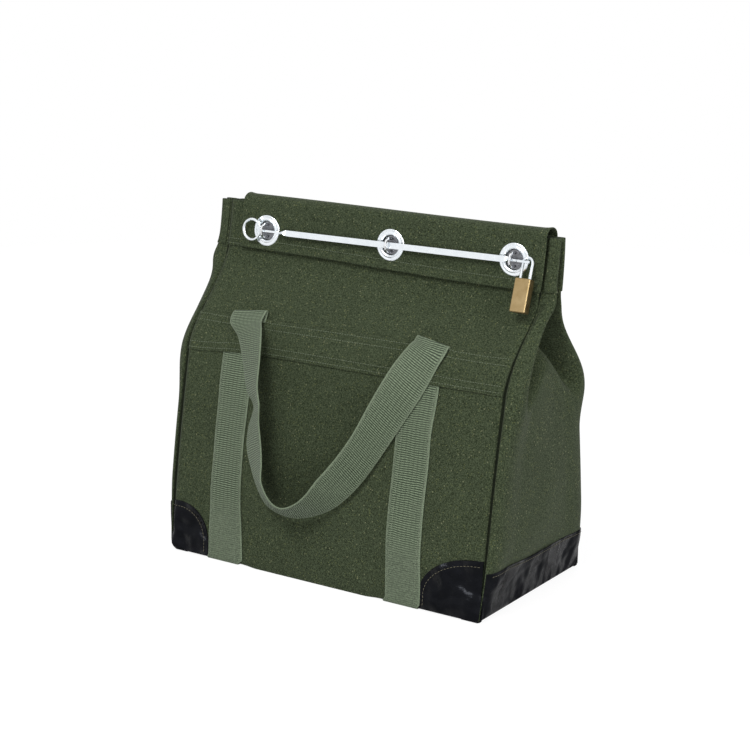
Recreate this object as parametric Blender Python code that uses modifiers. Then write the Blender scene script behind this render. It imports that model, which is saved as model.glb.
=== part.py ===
"""A canvas bank deposit bag with a pleated mouth, a flap on eyelets and staples, a locking rod and a padlock.

Metres, +Z up, +X to the wearer's right of the front, -Y is the front. The origin is on the floor under the
middle of the base. Every sewn piece is a sheet laid on the same few surfaces, so a size changed below moves
the panel and all that is sewn to it.
"""

import bmesh
import bpy
import numpy as np
from math import atan2, cos, pi, radians, sin, sqrt, tan
from mathutils import Matrix, Vector

# Body of the bag
BASE_WIDTH = 0.465
BASE_DEPTH = 0.248
MOUTH_HEIGHT = 0.446
MOUTH_HALF_GAP = 0.0105
MOUTH_SETBACK = 0.006
SHOULDER_BELOW_MOUTH = 0.184
SHOULDER_HEIGHT = MOUTH_HEIGHT - SHOULDER_BELOW_MOUTH
SHOULDER_HALF_DEPTH = 0.088
CANVAS = 0.0015
CLEAR = 0.0004

# Gussets and their pleats
GUSSET_BULGE = 0.015
PLEAT_DEPTH = 0.078
PLEAT_STRIP = 0.017
PLEAT_STRIP_SET = 0.030
PLEAT_FOLD = 0.0045
PLEAT_FOLD_EASE = 0.0015
PLEAT_WALL_SET = 0.012
SHOULDER_CURVE = 1.35
PLEAT_START = SHOULDER_HEIGHT - 0.027
PLEAT_FULL = MOUTH_HEIGHT - 0.074

# Mouth bands and the reinforcement across the panel
BAND_HEIGHT = 0.060
BAND_THICKNESS = 0.0012
PLEAT_BAND_CLEAR = 0.0010
REINFORCEMENT_HEIGHT = 0.049
REINFORCEMENT_LOW = SHOULDER_HEIGHT
REINFORCEMENT_HIGH = REINFORCEMENT_LOW + REINFORCEMENT_HEIGHT
REINFORCEMENT_THICKNESS = 0.0014

# Webbing straps and handles
WEBBING_WIDTH = 0.048
WEBBING_THICKNESS = 0.0018
STRAP_INSET = 0.097
STRAP_SPACING = BASE_WIDTH - 2 * STRAP_INSET
STRAP_SHIFT = -0.0115
HANDLE_DROP = 0.243
HANDLE_STAND_OFF = 0.014
HANDLE_FOLD_RISE = 0.0065
HANDLE_EASE_DROP = 0.0100
HANDLE_EASE_LIFT = 0.0030
HANDLE_EASE_SHIFT = 0.0030
STRAP_FOOT = 0.016

# Leather
LEATHER = 0.0012
CORNER_WIDTH = 0.070
CORNER_HEIGHT = 0.070
CORNER_RADIUS = 0.048
SIDE_STRIP_HEIGHT = 0.055
LEATHER_TURN_UNDER = 0.024

# Stiff board in the base
BOARD_THICKNESS = 0.003
BOARD_MARGIN = 0.006

# Flap
FLAP_LEFT = -BASE_WIDTH / 2 + 0.0255
FLAP_RIGHT = BASE_WIDTH / 2 + 0.0025
FLAP_THICKNESS = 0.0015
FLAP_RISE = 0.0105
FLAP_TAIL = 0.030
MOUTH_LEAN = radians(5)

# Eyelets in the flap
EYELET_LEFT_INSET = 0.046
EYELET_RIGHT_INSET = 0.0325
EYELET_MIDDLE_X = 0.029
EYELET_XS = (FLAP_LEFT + EYELET_LEFT_INSET, EYELET_MIDDLE_X, FLAP_RIGHT - EYELET_RIGHT_INSET)
EYELET_DIAMETER = 0.040
EYELET_HOLE = 0.0245
EYELET_RIM = 0.0016
EYELET_BARREL_WALL = 0.0010
WASHER_THICKNESS = 0.0008

# Staples on the mouth band
ROD_BELOW_MOUTH = 0.0335
ROD_HEIGHT = MOUTH_HEIGHT - ROD_BELOW_MOUTH
STAPLE_WIRE = 0.0032
STAPLE_INNER_RADIUS = 0.0063
STAPLE_PLATE_DIAMETER = 0.0232
STAPLE_PLATE_THICKNESS = 0.0010
RIVET_DIAMETER = 0.0024
RIVET_SPACING = 0.0150
RIVET_HEAD = 0.0007
BACKING_DIAMETER = 0.021
BACKING_THICKNESS = 0.0010

# Locking rod
ROD_THICKNESS = 0.0026
ROD_DEPTH = 0.0075
ROD_TWIST_LENGTH = 0.016
ROD_LEFT_TWIST_END = EYELET_XS[0] + 0.039
ROD_RIGHT_TWIST_START = EYELET_XS[2] - 0.013
ROD_TWIST_STEPS = 8
ROD_OVERLAP = 0.003
ROD_NECK_WIDTH = 0.0050
ROD_LEFT_EYE_REACH = 0.0055
ROD_LEFT_EYE_X = EYELET_XS[0] - ROD_LEFT_EYE_REACH
ROD_LEFT_EYE_HOLE = 0.0058
LEFT_EYE_WALL = 0.0021
SLOT_WALL = 0.0014
SLOT_END_WALL = 0.0028
SLOT_LENGTH = 0.0070
SLOT_WIDTH = 0.0052
SLOT_CORNER = 0.0018
RIGHT_EYE_CORNER = 0.0022
RIGHT_EYE_SHOULDER = 0.003

# Pull ring
RING_DIAMETER = 0.0300
RING_WIRE = 0.0038

# Padlock
LOCK_BEYOND_EYELET = 0.0223
LOCK_X = EYELET_XS[2] + LOCK_BEYOND_EYELET
LOCK_LEAN = radians(18.5)
LOCK_WIDTH = 0.0200
LOCK_THICKNESS = 0.0120
LOCK_HEIGHT = 0.0405
LOCK_BEVEL = 0.0009
LOCK_BELOW_ROD = 0.0205
SHACKLE_WIRE = 0.0034
SHACKLE_SPACING = 0.0125
SHACKLE_LONG_LEG = 0.0140
SHACKLE_HOLE_CLEARANCE = 0.0004
SHACKLE_REACH = 0.0032
UNLOCK_DROP = 0.0060
SHACKLE_SHORT_LEG = UNLOCK_DROP - 0.0010
KEY_PLUG_DIAMETER = 0.0068
KEY_PLUG_LENGTH = 0.0110
KEY_PLUG_ABOVE_FOOT = 0.0072
KEYWAY_WIDTH = 0.0012
KEYWAY_HEIGHT = 0.0044
KEYWAY_DEPTH = 0.0060

COLOURS = {
    "canvas": ((0.040, 0.055, 0.030), 0.90, 0.0),
    "webbing": ((0.085, 0.120, 0.070), 0.75, 0.0),
    "leather": ((0.012, 0.012, 0.016), 0.30, 0.0),
    "steel": ((0.80, 0.81, 0.83), 0.25, 1.0),
    "brass": ((0.62, 0.44, 0.20), 0.30, 1.0),
    "board": ((0.20, 0.13, 0.08), 0.80, 0.0),
}


def clear_scene():
    for obj in list(bpy.data.objects):
        bpy.data.objects.remove(obj, do_unlink=True)


def new_collection(name):
    collection = bpy.data.collections.new(name)
    bpy.context.scene.collection.children.link(collection)
    return collection


clear_scene()
PARTS = new_collection("deposit_bag")
CUTTERS = new_collection("cutters")
CUTTERS.hide_render = True


def material(name, finish):
    """One Principled material of a piece's own, in the colour, roughness and metallic value of its finish."""
    colour, roughness, metallic = COLOURS[finish]
    made = bpy.data.materials.new(name + "_" + finish)
    made.use_nodes = True
    shader = made.node_tree.nodes["Principled BSDF"]
    shader.inputs["Base Color"].default_value = (*colour, 1.0)
    shader.inputs["Roughness"].default_value = roughness
    shader.inputs["Metallic"].default_value = metallic
    made.diffuse_color = (*colour, 1.0)
    return made


def add_part(name, mesh, finish, parent=None, smooth_angle=None):
    part = bpy.data.objects.new(name, mesh)
    PARTS.objects.link(part)
    part.data.materials.append(material(name, finish))
    part.parent = parent
    if smooth_angle is not None:
        mesh.shade_smooth()
        mesh.set_sharp_from_angle(angle=smooth_angle)
    return part


def add_empty(name, location, lean=0.0, parent=None):
    empty = bpy.data.objects.new(name, None)
    PARTS.objects.link(empty)
    empty.parent = parent
    empty.location = location
    empty.rotation_euler = (lean, 0.0, 0.0)
    return empty


def add_cutter(name, mesh, parent=None, matrix=Matrix.Identity(4)):
    cutter = bpy.data.objects.new(name, mesh)
    CUTTERS.objects.link(cutter)
    cutter.parent = parent
    cutter.matrix_local = matrix
    cutter.hide_render = True
    cutter.display_type = "WIRE"
    return cutter


def cut(part, cutter, operation="DIFFERENCE"):
    boolean = part.modifiers.new(operation.lower() + "_" + cutter.name, "BOOLEAN")
    boolean.operation = operation
    boolean.object = cutter
    boolean.solver = "EXACT"


def smoothstep(low, high, value):
    t = min(1.0, max(0.0, (value - low) / (high - low)))
    return t * t * (3.0 - 2.0 * t)


def blend(a, b, t):
    return a + (b - a) * t


# Shape of the bag, as functions of height


def mouth_middle(z):
    """The y midway between front and back at a height: the soft mouth leans a little to the rear."""
    return MOUTH_SETBACK * (z / MOUTH_HEIGHT) ** 2


def half_depth(z):
    """Half the outside depth: a gentle lean to the shoulder, a steep one to the band, then the band."""
    base = BASE_DEPTH / 2
    band_low = MOUTH_HEIGHT - BAND_HEIGHT
    band_half = MOUTH_HALF_GAP + BAND_HEIGHT / 2 * tan(MOUTH_LEAN)
    if z >= band_low:
        return band_half - (z - band_low) * tan(MOUTH_LEAN)
    if z <= SHOULDER_HEIGHT:
        t = z / SHOULDER_HEIGHT
        return base - (base - SHOULDER_HALF_DEPTH) * t**SHOULDER_CURVE
    rise = band_low - SHOULDER_HEIGHT
    t = (z - SHOULDER_HEIGHT) / rise
    start_slope = -SHOULDER_CURVE * (base - SHOULDER_HALF_DEPTH) / SHOULDER_HEIGHT * rise
    end_slope = -tan(MOUTH_LEAN) * rise
    return (
        SHOULDER_HALF_DEPTH * (2 * t**3 - 3 * t**2 + 1)
        + start_slope * (t**3 - 2 * t**2 + t)
        + band_half * (3 * t**2 - 2 * t**3)
        + end_slope * (t**3 - t**2)
    )


def lean_angle(z):
    """How far the panel leans from upright at a height."""
    step = 0.001
    return atan2(half_depth(z - step) - half_depth(z + step), 2 * step)


def panel_y(z, side):
    """The outer face of the front (side -1) or back (side +1) panel."""
    return mouth_middle(z) + side * half_depth(z)


def panel_point(x, z, side, proud=0.0):
    """A point on a panel's outer face, or proud of it along its normal."""
    lean = lean_angle(z)
    return Vector((x, panel_y(z, side) + side * proud * cos(lean), z + proud * sin(lean)))


FOLD_STOPS = (0.0, 0.10, 0.18, 0.235, 0.265, 0.295, 0.42, 0.56, 0.70, 0.84, 0.94, 1.0)


def folded_half(z, t):
    """Front half of the gusset where the pleat is full, as (x from the seam, y from the panel)."""
    reach = half_depth(z)
    seam_set = (CANVAS + CLEAR) / cos(lean_angle(z))
    strip_back = min(0.30 * reach, PLEAT_STRIP_SET)
    fold = min(0.21 * reach, PLEAT_FOLD)
    wall_end = reach - min(0.30 * reach, PLEAT_WALL_SET)
    points = (
        (0.0, 0.0, seam_set),
        (FOLD_STOPS[3], PLEAT_STRIP - PLEAT_FOLD_EASE, strip_back),
        (FOLD_STOPS[4], PLEAT_STRIP, strip_back + fold / 2),
        (FOLD_STOPS[5], PLEAT_STRIP - PLEAT_FOLD_EASE, strip_back + fold),
        (FOLD_STOPS[10], -PLEAT_DEPTH + 0.002, wall_end),
        (1.0, -PLEAT_DEPTH, reach),
    )
    stops = [p[0] for p in points]
    return (
        float(np.interp(t, stops, [p[1] for p in points])),
        float(np.interp(t, stops, [p[2] for p in points])),
    )


def open_half(z, t):
    """Front half of the gusset where it is not pleated: a bulging side."""
    seam_set = (CANVAS + CLEAR) / cos(lean_angle(z))
    swell = GUSSET_BULGE * smoothstep(0.0, 0.10, z)
    return swell * sqrt(1.0 - (1.0 - t) ** 3), blend(seam_set, half_depth(z), t)


def gusset_point(side, z, u, proud=0.0):
    """A point of a gusset's outer face: u runs from the front seam (0) to the rear seam (1)."""

    def plain(z, u):
        t = 2.0 * u if u <= 0.5 else 2.0 * (1.0 - u)
        pleated = smoothstep(PLEAT_START, PLEAT_FULL, z)
        x_open, y_open = open_half(z, t)
        x_fold, y_fold = folded_half(z, t)
        x = BASE_WIDTH / 2 + blend(x_open, x_fold, pleated)
        from_panel = blend(y_open, y_fold, pleated)
        face = -1 if u <= 0.5 else 1
        y = panel_y(z, face) - face * from_panel
        return Vector((side * x, y, z))

    point = plain(z, u)
    if not proud:
        return point
    step_u = 0.01
    along = plain(z, min(1.0, u + step_u)) - plain(z, max(0.0, u - step_u))
    up = plain(z + 0.001, u) - plain(z - 0.001, u)
    normal = along.cross(up).normalized() * side
    return point + normal * proud


def gusset_stops():
    half = [stop / 2 for stop in FOLD_STOPS]
    return half + [1.0 - stop for stop in reversed(half[:-1])]


def spread(low, high, count):
    return [low + (high - low) * i / (count - 1) for i in range(count)]


# Builders


def sheet(name, place, us, vs, thickness, finish, parent=None, even=True):
    """A sewn sheet: a grid laid on a surface by place(u, v), with its thickness behind its outer face."""
    grid = bmesh.new()
    bmesh.ops.create_grid(grid, x_segments=len(us) - 1, y_segments=len(vs) - 1, size=1.0)
    for vertex in grid.verts:
        column = round((vertex.co.x + 1.0) / 2.0 * (len(us) - 1))
        row = round((vertex.co.y + 1.0) / 2.0 * (len(vs) - 1))
        vertex.co = place(us[column], vs[row])
    mesh = bpy.data.meshes.new(name)
    grid.to_mesh(mesh)
    grid.free()
    part = add_part(name, mesh, finish, parent, smooth_angle=radians(40))
    wall = part.modifiers.new("wall", "SOLIDIFY")
    wall.thickness = thickness
    wall.offset = -1.0
    wall.use_even_offset = even
    return part


def lathe(name, profile, steps=40):
    """A mesh turned about Z from (radius, height) points that run down the outer side, top to bottom."""
    mesh = bpy.data.meshes.new(name)
    mesh.from_pydata([(r, 0.0, z) for r, z in profile], [(i, i + 1) for i in range(len(profile) - 1)], [])
    turned = bpy.data.objects.new(name + "_profile", mesh)
    CUTTERS.objects.link(turned)
    screw = turned.modifiers.new("turn", "SCREW")
    screw.steps = steps
    screw.render_steps = steps
    screw.use_merge_vertices = True
    screw.merge_threshold = 0.00001
    screw.use_smooth_shade = True
    return bake(turned)


def bake(obj):
    """The evaluated mesh of a helper object, welded, with the helper removed."""
    bpy.context.view_layer.update()
    graph = bpy.context.evaluated_depsgraph_get()
    mesh = bpy.data.meshes.new_from_object(obj.evaluated_get(graph))
    shape = bmesh.new()
    shape.from_mesh(mesh)
    bmesh.ops.remove_doubles(shape, verts=shape.verts, dist=0.000002)
    bmesh.ops.recalc_face_normals(shape, faces=shape.faces)
    shape.to_mesh(mesh)
    shape.free()
    bpy.data.objects.remove(obj, do_unlink=True)
    return mesh


def wire(name, points, radius, cyclic=False, resolution=3):
    """A round wire along points, as a closed mesh."""
    curve = bpy.data.curves.new(name, "CURVE")
    curve.dimensions = "3D"
    curve.bevel_depth = radius
    curve.bevel_resolution = resolution
    curve.use_fill_caps = not cyclic
    spline = curve.splines.new("POLY")
    spline.points.add(len(points) - 1)
    for target, point in zip(spline.points, points):
        target.co = (*point, 1.0)
    spline.use_cyclic_u = cyclic
    guide = bpy.data.objects.new(name + "_guide", curve)
    CUTTERS.objects.link(guide)
    return bake(guide)


def cylinder(radius, depth, segments=24, matrix=Matrix.Identity(4)):
    shape = bmesh.new()
    bmesh.ops.create_cone(
        shape,
        cap_ends=True,
        segments=segments,
        radius1=radius,
        radius2=radius,
        depth=depth,
        matrix=matrix,
    )
    mesh = bpy.data.meshes.new("cylinder")
    shape.to_mesh(mesh)
    shape.free()
    return mesh


def box(size, matrix=Matrix.Identity(4)):
    shape = bmesh.new()
    bmesh.ops.create_cube(shape, size=1.0, matrix=matrix @ Matrix.Diagonal((*size, 1.0)))
    mesh = bpy.data.meshes.new("box")
    shape.to_mesh(mesh)
    shape.free()
    return mesh


def plate(name, outline, thickness, holes=()):
    """A flat plate in XY, centred on z 0, from its outline and the outlines of its holes."""
    curve = bpy.data.curves.new(name, "CURVE")
    curve.dimensions = "2D"
    curve.fill_mode = "BOTH"
    curve.extrude = thickness / 2
    for loop in (outline, *holes):
        spline = curve.splines.new("POLY")
        spline.points.add(len(loop) - 1)
        for target, (x, y) in zip(spline.points, loop):
            target.co = (x, y, 0.0, 1.0)
        spline.use_cyclic_u = True
    guide = bpy.data.objects.new(name + "_guide", curve)
    CUTTERS.objects.link(guide)
    return bake(guide)


def arc(centre, radius, start, end, count):
    return [
        (centre[0] + radius * cos(blend(start, end, i / (count - 1))),
         centre[1] + radius * sin(blend(start, end, i / (count - 1))))
        for i in range(count)
    ]


# Body panels

BASE_UNDERSIDE = WEBBING_THICKNESS + CLEAR
PANEL_FOOT = BASE_UNDERSIDE
BAND_LOW = MOUTH_HEIGHT - BAND_HEIGHT
HALF_WIDTH = BASE_WIDTH / 2


def panel_levels():
    lower = spread(PANEL_FOOT, SHOULDER_HEIGHT, 6)
    slope = spread(SHOULDER_HEIGHT, BAND_LOW, 7)[1:]
    return lower + slope + [MOUTH_HEIGHT]


def build_panels():
    def front(u, z):
        return panel_point(blend(-HALF_WIDTH, HALF_WIDTH, u), z, -1)

    def back(u, z):
        return panel_point(blend(HALF_WIDTH, -HALF_WIDTH, u), z, 1)

    front_panel = sheet("front_panel", front, spread(0, 1, 9), panel_levels(), CANVAS, "canvas")
    sheet("back_panel", back, spread(0, 1, 9), panel_levels(), CANVAS, "canvas")
    return front_panel


def side_strip_levels():
    return spread(PANEL_FOOT, SIDE_STRIP_HEIGHT, 4)


def build_gussets():
    low = side_strip_levels() + spread(SIDE_STRIP_HEIGHT, PLEAT_START, 4)[1:]
    levels = low + spread(PLEAT_START, BAND_LOW, 8)[1:] + [MOUTH_HEIGHT]

    def right(u, z):
        return gusset_point(1, z, u)

    def left(u, z):
        return gusset_point(-1, z, 1.0 - u)

    sheet("gusset_right", right, gusset_stops(), levels, CANVAS, "canvas")
    sheet("gusset_left", left, gusset_stops(), levels, CANVAS, "canvas")


def build_base():
    inset = CANVAS + CLEAR
    width = BASE_WIDTH - 2 * inset
    depth = 2 * half_depth(BASE_UNDERSIDE) - 2 * inset - 2 * CLEAR
    mesh = box((width, depth, CANVAS), Matrix.Translation((0, 0, BASE_UNDERSIDE + CANVAS / 2)))
    add_part("base_panel", mesh, "canvas")
    board_low = BASE_UNDERSIDE + CANVAS + CLEAR
    size = (width - 2 * BOARD_MARGIN, depth - 2 * BOARD_MARGIN, BOARD_THICKNESS)
    mesh = box(size, Matrix.Translation((0, 0, board_low + BOARD_THICKNESS / 2)))
    board = add_part("base_board", mesh, "board")
    edge = board.modifiers.new("rounded_edges", "BEVEL")
    edge.width = 0.0008
    edge.segments = 2


# Bands sewn on the mouth and across the panels


def build_bands():
    rows = [BAND_LOW, MOUTH_HEIGHT]
    outer = CLEAR + BAND_THICKNESS

    def front(u, z):
        return panel_point(blend(-HALF_WIDTH, HALF_WIDTH, u), z, -1, outer)

    def back(u, z):
        return panel_point(blend(HALF_WIDTH, -HALF_WIDTH, u), z, 1, outer)

    front_band = sheet("front_mouth_band", front, spread(0, 1, 5), rows, BAND_THICKNESS, "canvas")
    sheet("back_mouth_band", back, spread(0, 1, 5), rows, BAND_THICKNESS, "canvas")

    inside = gusset_stops()[2:-2]
    over_pleat = PLEAT_BAND_CLEAR + BAND_THICKNESS

    def right(u, z):
        return gusset_point(1, z, u, over_pleat)

    def left(u, z):
        return gusset_point(-1, z, 1.0 - u, over_pleat)

    sheet("pleat_band_right", right, inside, rows, BAND_THICKNESS, "canvas")
    sheet("pleat_band_left", left, inside, rows, BAND_THICKNESS, "canvas")
    return front_band


def over_reinforcement():
    """How far the reinforcement's outer face stands off the panel: it is sewn over the straps."""
    return CLEAR + WEBBING_THICKNESS + CLEAR + REINFORCEMENT_THICKNESS


def build_reinforcements():
    levels = spread(REINFORCEMENT_LOW, REINFORCEMENT_HIGH, 5)
    for name, side in (("front_reinforcement", -1), ("back_reinforcement", 1)):

        def place(u, z, side=side):
            x = blend(HALF_WIDTH, -HALF_WIDTH, u) * side
            return panel_point(x, z, side, over_reinforcement())

        sheet(name, place, spread(0, 1, 5), levels, REINFORCEMENT_THICKNESS, "canvas")


# Webbing


def strap_x(side):
    return STRAP_SHIFT + side * STRAP_SPACING / 2


def strap_line():
    """The outer line of a strap in (y, z): down the front, under the base and up the back."""
    proud = CLEAR + WEBBING_THICKNESS
    levels = spread(handle_fold() - CLEAR, SHOULDER_HEIGHT, 5) + spread(SHOULDER_HEIGHT, STRAP_FOOT, 5)[1:]
    front = [panel_point(0, z, -1, proud).yz for z in levels]
    back = [panel_point(0, z, 1, proud).yz for z in reversed(levels)]
    foot = BASE_UNDERSIDE
    turn_front = arc((panel_y(foot, -1), foot), proud, pi, 1.5 * pi, 4)
    turn_back = arc((panel_y(foot, 1), foot), proud, 1.5 * pi, 2 * pi, 4)
    return [Vector(p) for p in (*front, *turn_front, *turn_back, *back)]


def build_straps():
    line = strap_line()

    def place(u, v, centre=0.0):
        point = line[round(v * (len(line) - 1))]
        return Vector((centre + blend(WEBBING_WIDTH / 2, -WEBBING_WIDTH / 2, u), point.x, point.y))

    for name, side in (("strap_left", -1), ("strap_right", 1)):
        centre = strap_x(side)
        sheet(
            name,
            lambda u, v, centre=centre: place(u, v, centre),
            [0.0, 1.0],
            spread(0, 1, len(line)),
            WEBBING_THICKNESS,
            "webbing",
        )


def handle_stations():
    """Stations of the hanging front handle: a point of its middle line, and the direction across its width.

    That direction is given along the panel, out of it and up it. The webbing folds over the end of the strap
    and hangs, with its first face turned to the panel at both ends and up at the foot of the loop.
    """
    left, right = strap_x(-1), strap_x(1)
    top, low = REINFORCEMENT_HIGH, REINFORCEMENT_HIGH - HANDLE_DROP
    near = over_reinforcement() + CLEAR

    def at(x, level, stand, across, out, up):
        lean = lean_angle(level)
        width = Vector((across, up * sin(lean) - out * cos(lean), up * cos(lean) + out * sin(lean)))
        return panel_point(x, level, -1, stand), width.normalized()

    def hang(share, fall, lift, across, out, up):
        stand = near + lift * HANDLE_STAND_OFF
        return at(blend(left, right, share), blend(top, low, fall), stand, across, out, up)

    start = handle_fold() - CLEAR
    below_fold, eased = start - HANDLE_EASE_DROP, near + HANDLE_EASE_LIFT
    return [
        at(left, start, near, 1, 0, 0),
        at(left + HANDLE_EASE_SHIFT, below_fold, eased, 1, 0.05, 0.10),
        hang(0.06, 0.10, 0.60, 0.94, 0.33, 0.07),
        hang(0.12, 0.20, 1.00, 0.87, 0.47, 0.11),
        hang(0.16, 0.34, 1.40, 0.75, 0.61, 0.20),
        hang(0.20, 0.42, 1.55, 0.68, 0.72, 0.15),
        hang(0.19, 0.52, 1.40, 0.74, 0.60, 0.28),
        hang(0.20, 0.62, 1.35, 0.80, 0.53, 0.27),
        hang(0.23, 0.72, 1.45, 0.73, 0.60, 0.32),
        hang(0.26, 0.81, 1.60, 0.63, 0.72, 0.29),
        hang(0.32, 0.89, 1.60, 0.60, 0.74, 0.30),
        hang(0.39, 0.915, 1.60, 0.50, 0.79, 0.35),
        hang(0.46, 0.905, 1.50, 0.35, 0.81, 0.47),
        hang(0.54, 0.86, 1.35, 0.10, 0.81, 0.57),
        hang(0.62, 0.78, 1.20, -0.22, 0.70, 0.67),
        hang(0.70, 0.67, 1.00, -0.46, 0.53, 0.70),
        hang(0.77, 0.54, 0.72, -0.64, 0.34, 0.67),
        hang(0.85, 0.36, 0.48, -0.80, 0.18, 0.56),
        hang(0.93, 0.18, 0.34, -0.90, 0.03, 0.42),
        at(right - HANDLE_EASE_SHIFT, below_fold, eased, -1, 0, 0.20),
        at(right, start, near, -1, 0, 0),
    ]


def build_handles():
    """Both handles hang from the top of the reinforcements, the back one as the front one turned round."""
    stations = handle_stations()
    levels = spread(0, len(stations) - 1, len(stations))
    for name, side in (("front_handle", -1), ("back_handle", 1)):
        axis = handle_axis(side)
        pivot = add_empty(name + "_pivot", axis)

        def place(u, v, side=side, axis=axis):
            centre, across = stations[round(v)]
            point = centre + across * blend(-WEBBING_WIDTH / 2, WEBBING_WIDTH / 2, u)
            if side > 0:
                point = Vector((2 * STRAP_SHIFT - point.x, 2 * mouth_middle(centre.z) - point.y, point.z))
            return point - Vector(axis)

        sheet(name, place, [0.0, 0.5, 1.0], levels, WEBBING_THICKNESS, "webbing", pivot)


def handle_fold():
    """Level of the fold where the handle hinges on the top end of its strap."""
    return REINFORCEMENT_HIGH + HANDLE_FOLD_RISE


def handle_axis(side):
    """The fold's axis lies midway between the strap and the handle that is folded down over it."""
    strap_middle = CLEAR + WEBBING_THICKNESS / 2
    handle_middle = over_reinforcement() + CLEAR + WEBBING_THICKNESS / 2
    point = panel_point(0, handle_fold(), side, (strap_middle + handle_middle) / 2)
    return (STRAP_SHIFT, point.y, point.z)


# Leather at the foot


def corner_inner(side):
    """How far out a patch's inner edge lies: its own width from the seam, or short of a strap in its way."""
    strap_edge = side * strap_x(side) + WEBBING_WIDTH / 2
    return max(HALF_WIDTH - CORNER_WIDTH, strap_edge + 2 * CLEAR)


def corner_top(x, side):
    """Top of a corner patch at a place across it: level by the seam, rounded down at its inner edge."""
    drop = CORNER_RADIUS - (x - corner_inner(side))
    if drop <= 0:
        return CORNER_HEIGHT
    return CORNER_HEIGHT - CORNER_RADIUS + sqrt(max(0.0, CORNER_RADIUS**2 - drop**2))


def build_corners():
    outer = CLEAR + LEATHER
    foot = BASE_UNDERSIDE
    columns = [1.0 - cos(angle) for angle in spread(0.0, pi / 2, 6)]
    for face_name, face in (("front", -1), ("back", 1)):
        for side_name, side in (("left", -1), ("right", 1)):

            def place(u, v, face=face, side=side):
                z = foot + v * (corner_top(u, side) - foot)
                return panel_point(side * u, z, face, outer)

            xs = [corner_inner(side) + CORNER_RADIUS * c for c in columns] + [HALF_WIDTH]
            us = xs if side * face < 0 else list(reversed(xs))
            name = face_name + "_corner_" + side_name
            sheet(name, place, us, spread(0, 1, 5), LEATHER, "leather")


def build_side_strips():
    """Leather along the foot of each gusset, turned under the base."""
    outer = CLEAR + LEATHER
    foot = BASE_UNDERSIDE
    stops = [u for u in gusset_stops() if 0.02 < u < 0.98]
    rows = list(reversed(side_strip_levels()))
    fold = arc((0, 0), outer, 0, -pi / 2, 4)[1:]

    def place(u, v, side=1):
        if v < len(rows):
            return gusset_point(side, rows[v], u, outer)
        at_foot = gusset_point(side, foot, u)
        if v < len(rows) + len(fold):
            run, fall = fold[v - len(rows)]
        else:
            run, fall = -LEATHER_TURN_UNDER, -outer
        return at_foot + Vector((side * run, 0, fall))

    count = len(rows) + len(fold) + 1
    levels = list(reversed(range(count)))
    sheet("side_strip_right", place, stops, levels, LEATHER, "leather")
    flipped = list(reversed(stops))
    sheet("side_strip_left", lambda u, v: place(u, v, -1), flipped, levels, LEATHER, "leather")


# The mouth frame: y 0 is the panel's outer face at rod height, leaning with the band

FLAP_INNER = -(CLEAR + BAND_THICKNESS + WASHER_THICKNESS + 2 * CLEAR)
FLAP_OUTER = FLAP_INNER - FLAP_THICKNESS
RIM_FACE = FLAP_OUTER - CLEAR - EYELET_RIM
RIGHT_EYE_HALF = SLOT_WIDTH / 2 + SLOT_WALL
ROD_Y = RIM_FACE - CLEAR - RIGHT_EYE_HALF


def build_flap(frame):
    """The flap folds over the mouth on its tail, which is sewn to the back band."""
    tail_rows = [MOUTH_HEIGHT - FLAP_TAIL, MOUTH_HEIGHT - CLEAR]
    tail_proud = 2 * CLEAR + BAND_THICKNESS + FLAP_THICKNESS

    def tail(u, z):
        return panel_point(blend(FLAP_RIGHT, FLAP_LEFT, u), z, 1, tail_proud)

    sheet("flap_tail", tail, spread(0, 1, 5), tail_rows, FLAP_THICKNESS, "canvas")

    axis = flap_axis()
    pivot = add_empty("flap_pivot", axis)
    to_world = frame.matrix_local
    front_top = to_world @ Vector((0, FLAP_OUTER, MOUTH_HEIGHT - ROD_HEIGHT))
    front_low = to_world @ Vector((0, FLAP_OUTER, BAND_LOW + 0.0005 - ROD_HEIGHT))
    back_out = panel_point(0, MOUTH_HEIGHT, 1, tail_proud)
    middle = (front_top.y + back_out.y) / 2
    span = (back_out.y - front_top.y) / 2
    base = MOUTH_HEIGHT + CLEAR
    over = [
        Vector((0, middle + span * cos(angle), base + FLAP_RISE * sin(angle)))
        for angle in spread(0.0, pi, 11)
    ]
    line = over + [front_top.lerp(front_low, t) for t in (0.12, 0.5, 1.0)]

    def place(u, v):
        x = blend(FLAP_RIGHT, FLAP_LEFT, u)
        return Vector((x, line[v].y, line[v].z)) - Vector(axis)

    levels = list(range(len(line)))
    flap = sheet("flap", place, spread(0, 1, 7), levels, FLAP_THICKNESS, "canvas", pivot)
    barrel = EYELET_HOLE / 2 + EYELET_BARREL_WALL + CLEAR
    for x in EYELET_XS:
        centre = to_world @ Vector((x, FLAP_OUTER, 0)) - Vector(axis)
        turned = Matrix.Translation(centre) @ Matrix.Rotation(pi / 2 - MOUTH_LEAN, 4, "X")
        cut(flap, add_cutter("flap_hole", cylinder(barrel, 0.012, 32, turned), pivot))
    return pivot


def flap_axis():
    point = panel_point(0, MOUTH_HEIGHT, 1, 2 * CLEAR + BAND_THICKNESS + FLAP_THICKNESS / 2)
    return (0.0, point.y, MOUTH_HEIGHT)


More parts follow.
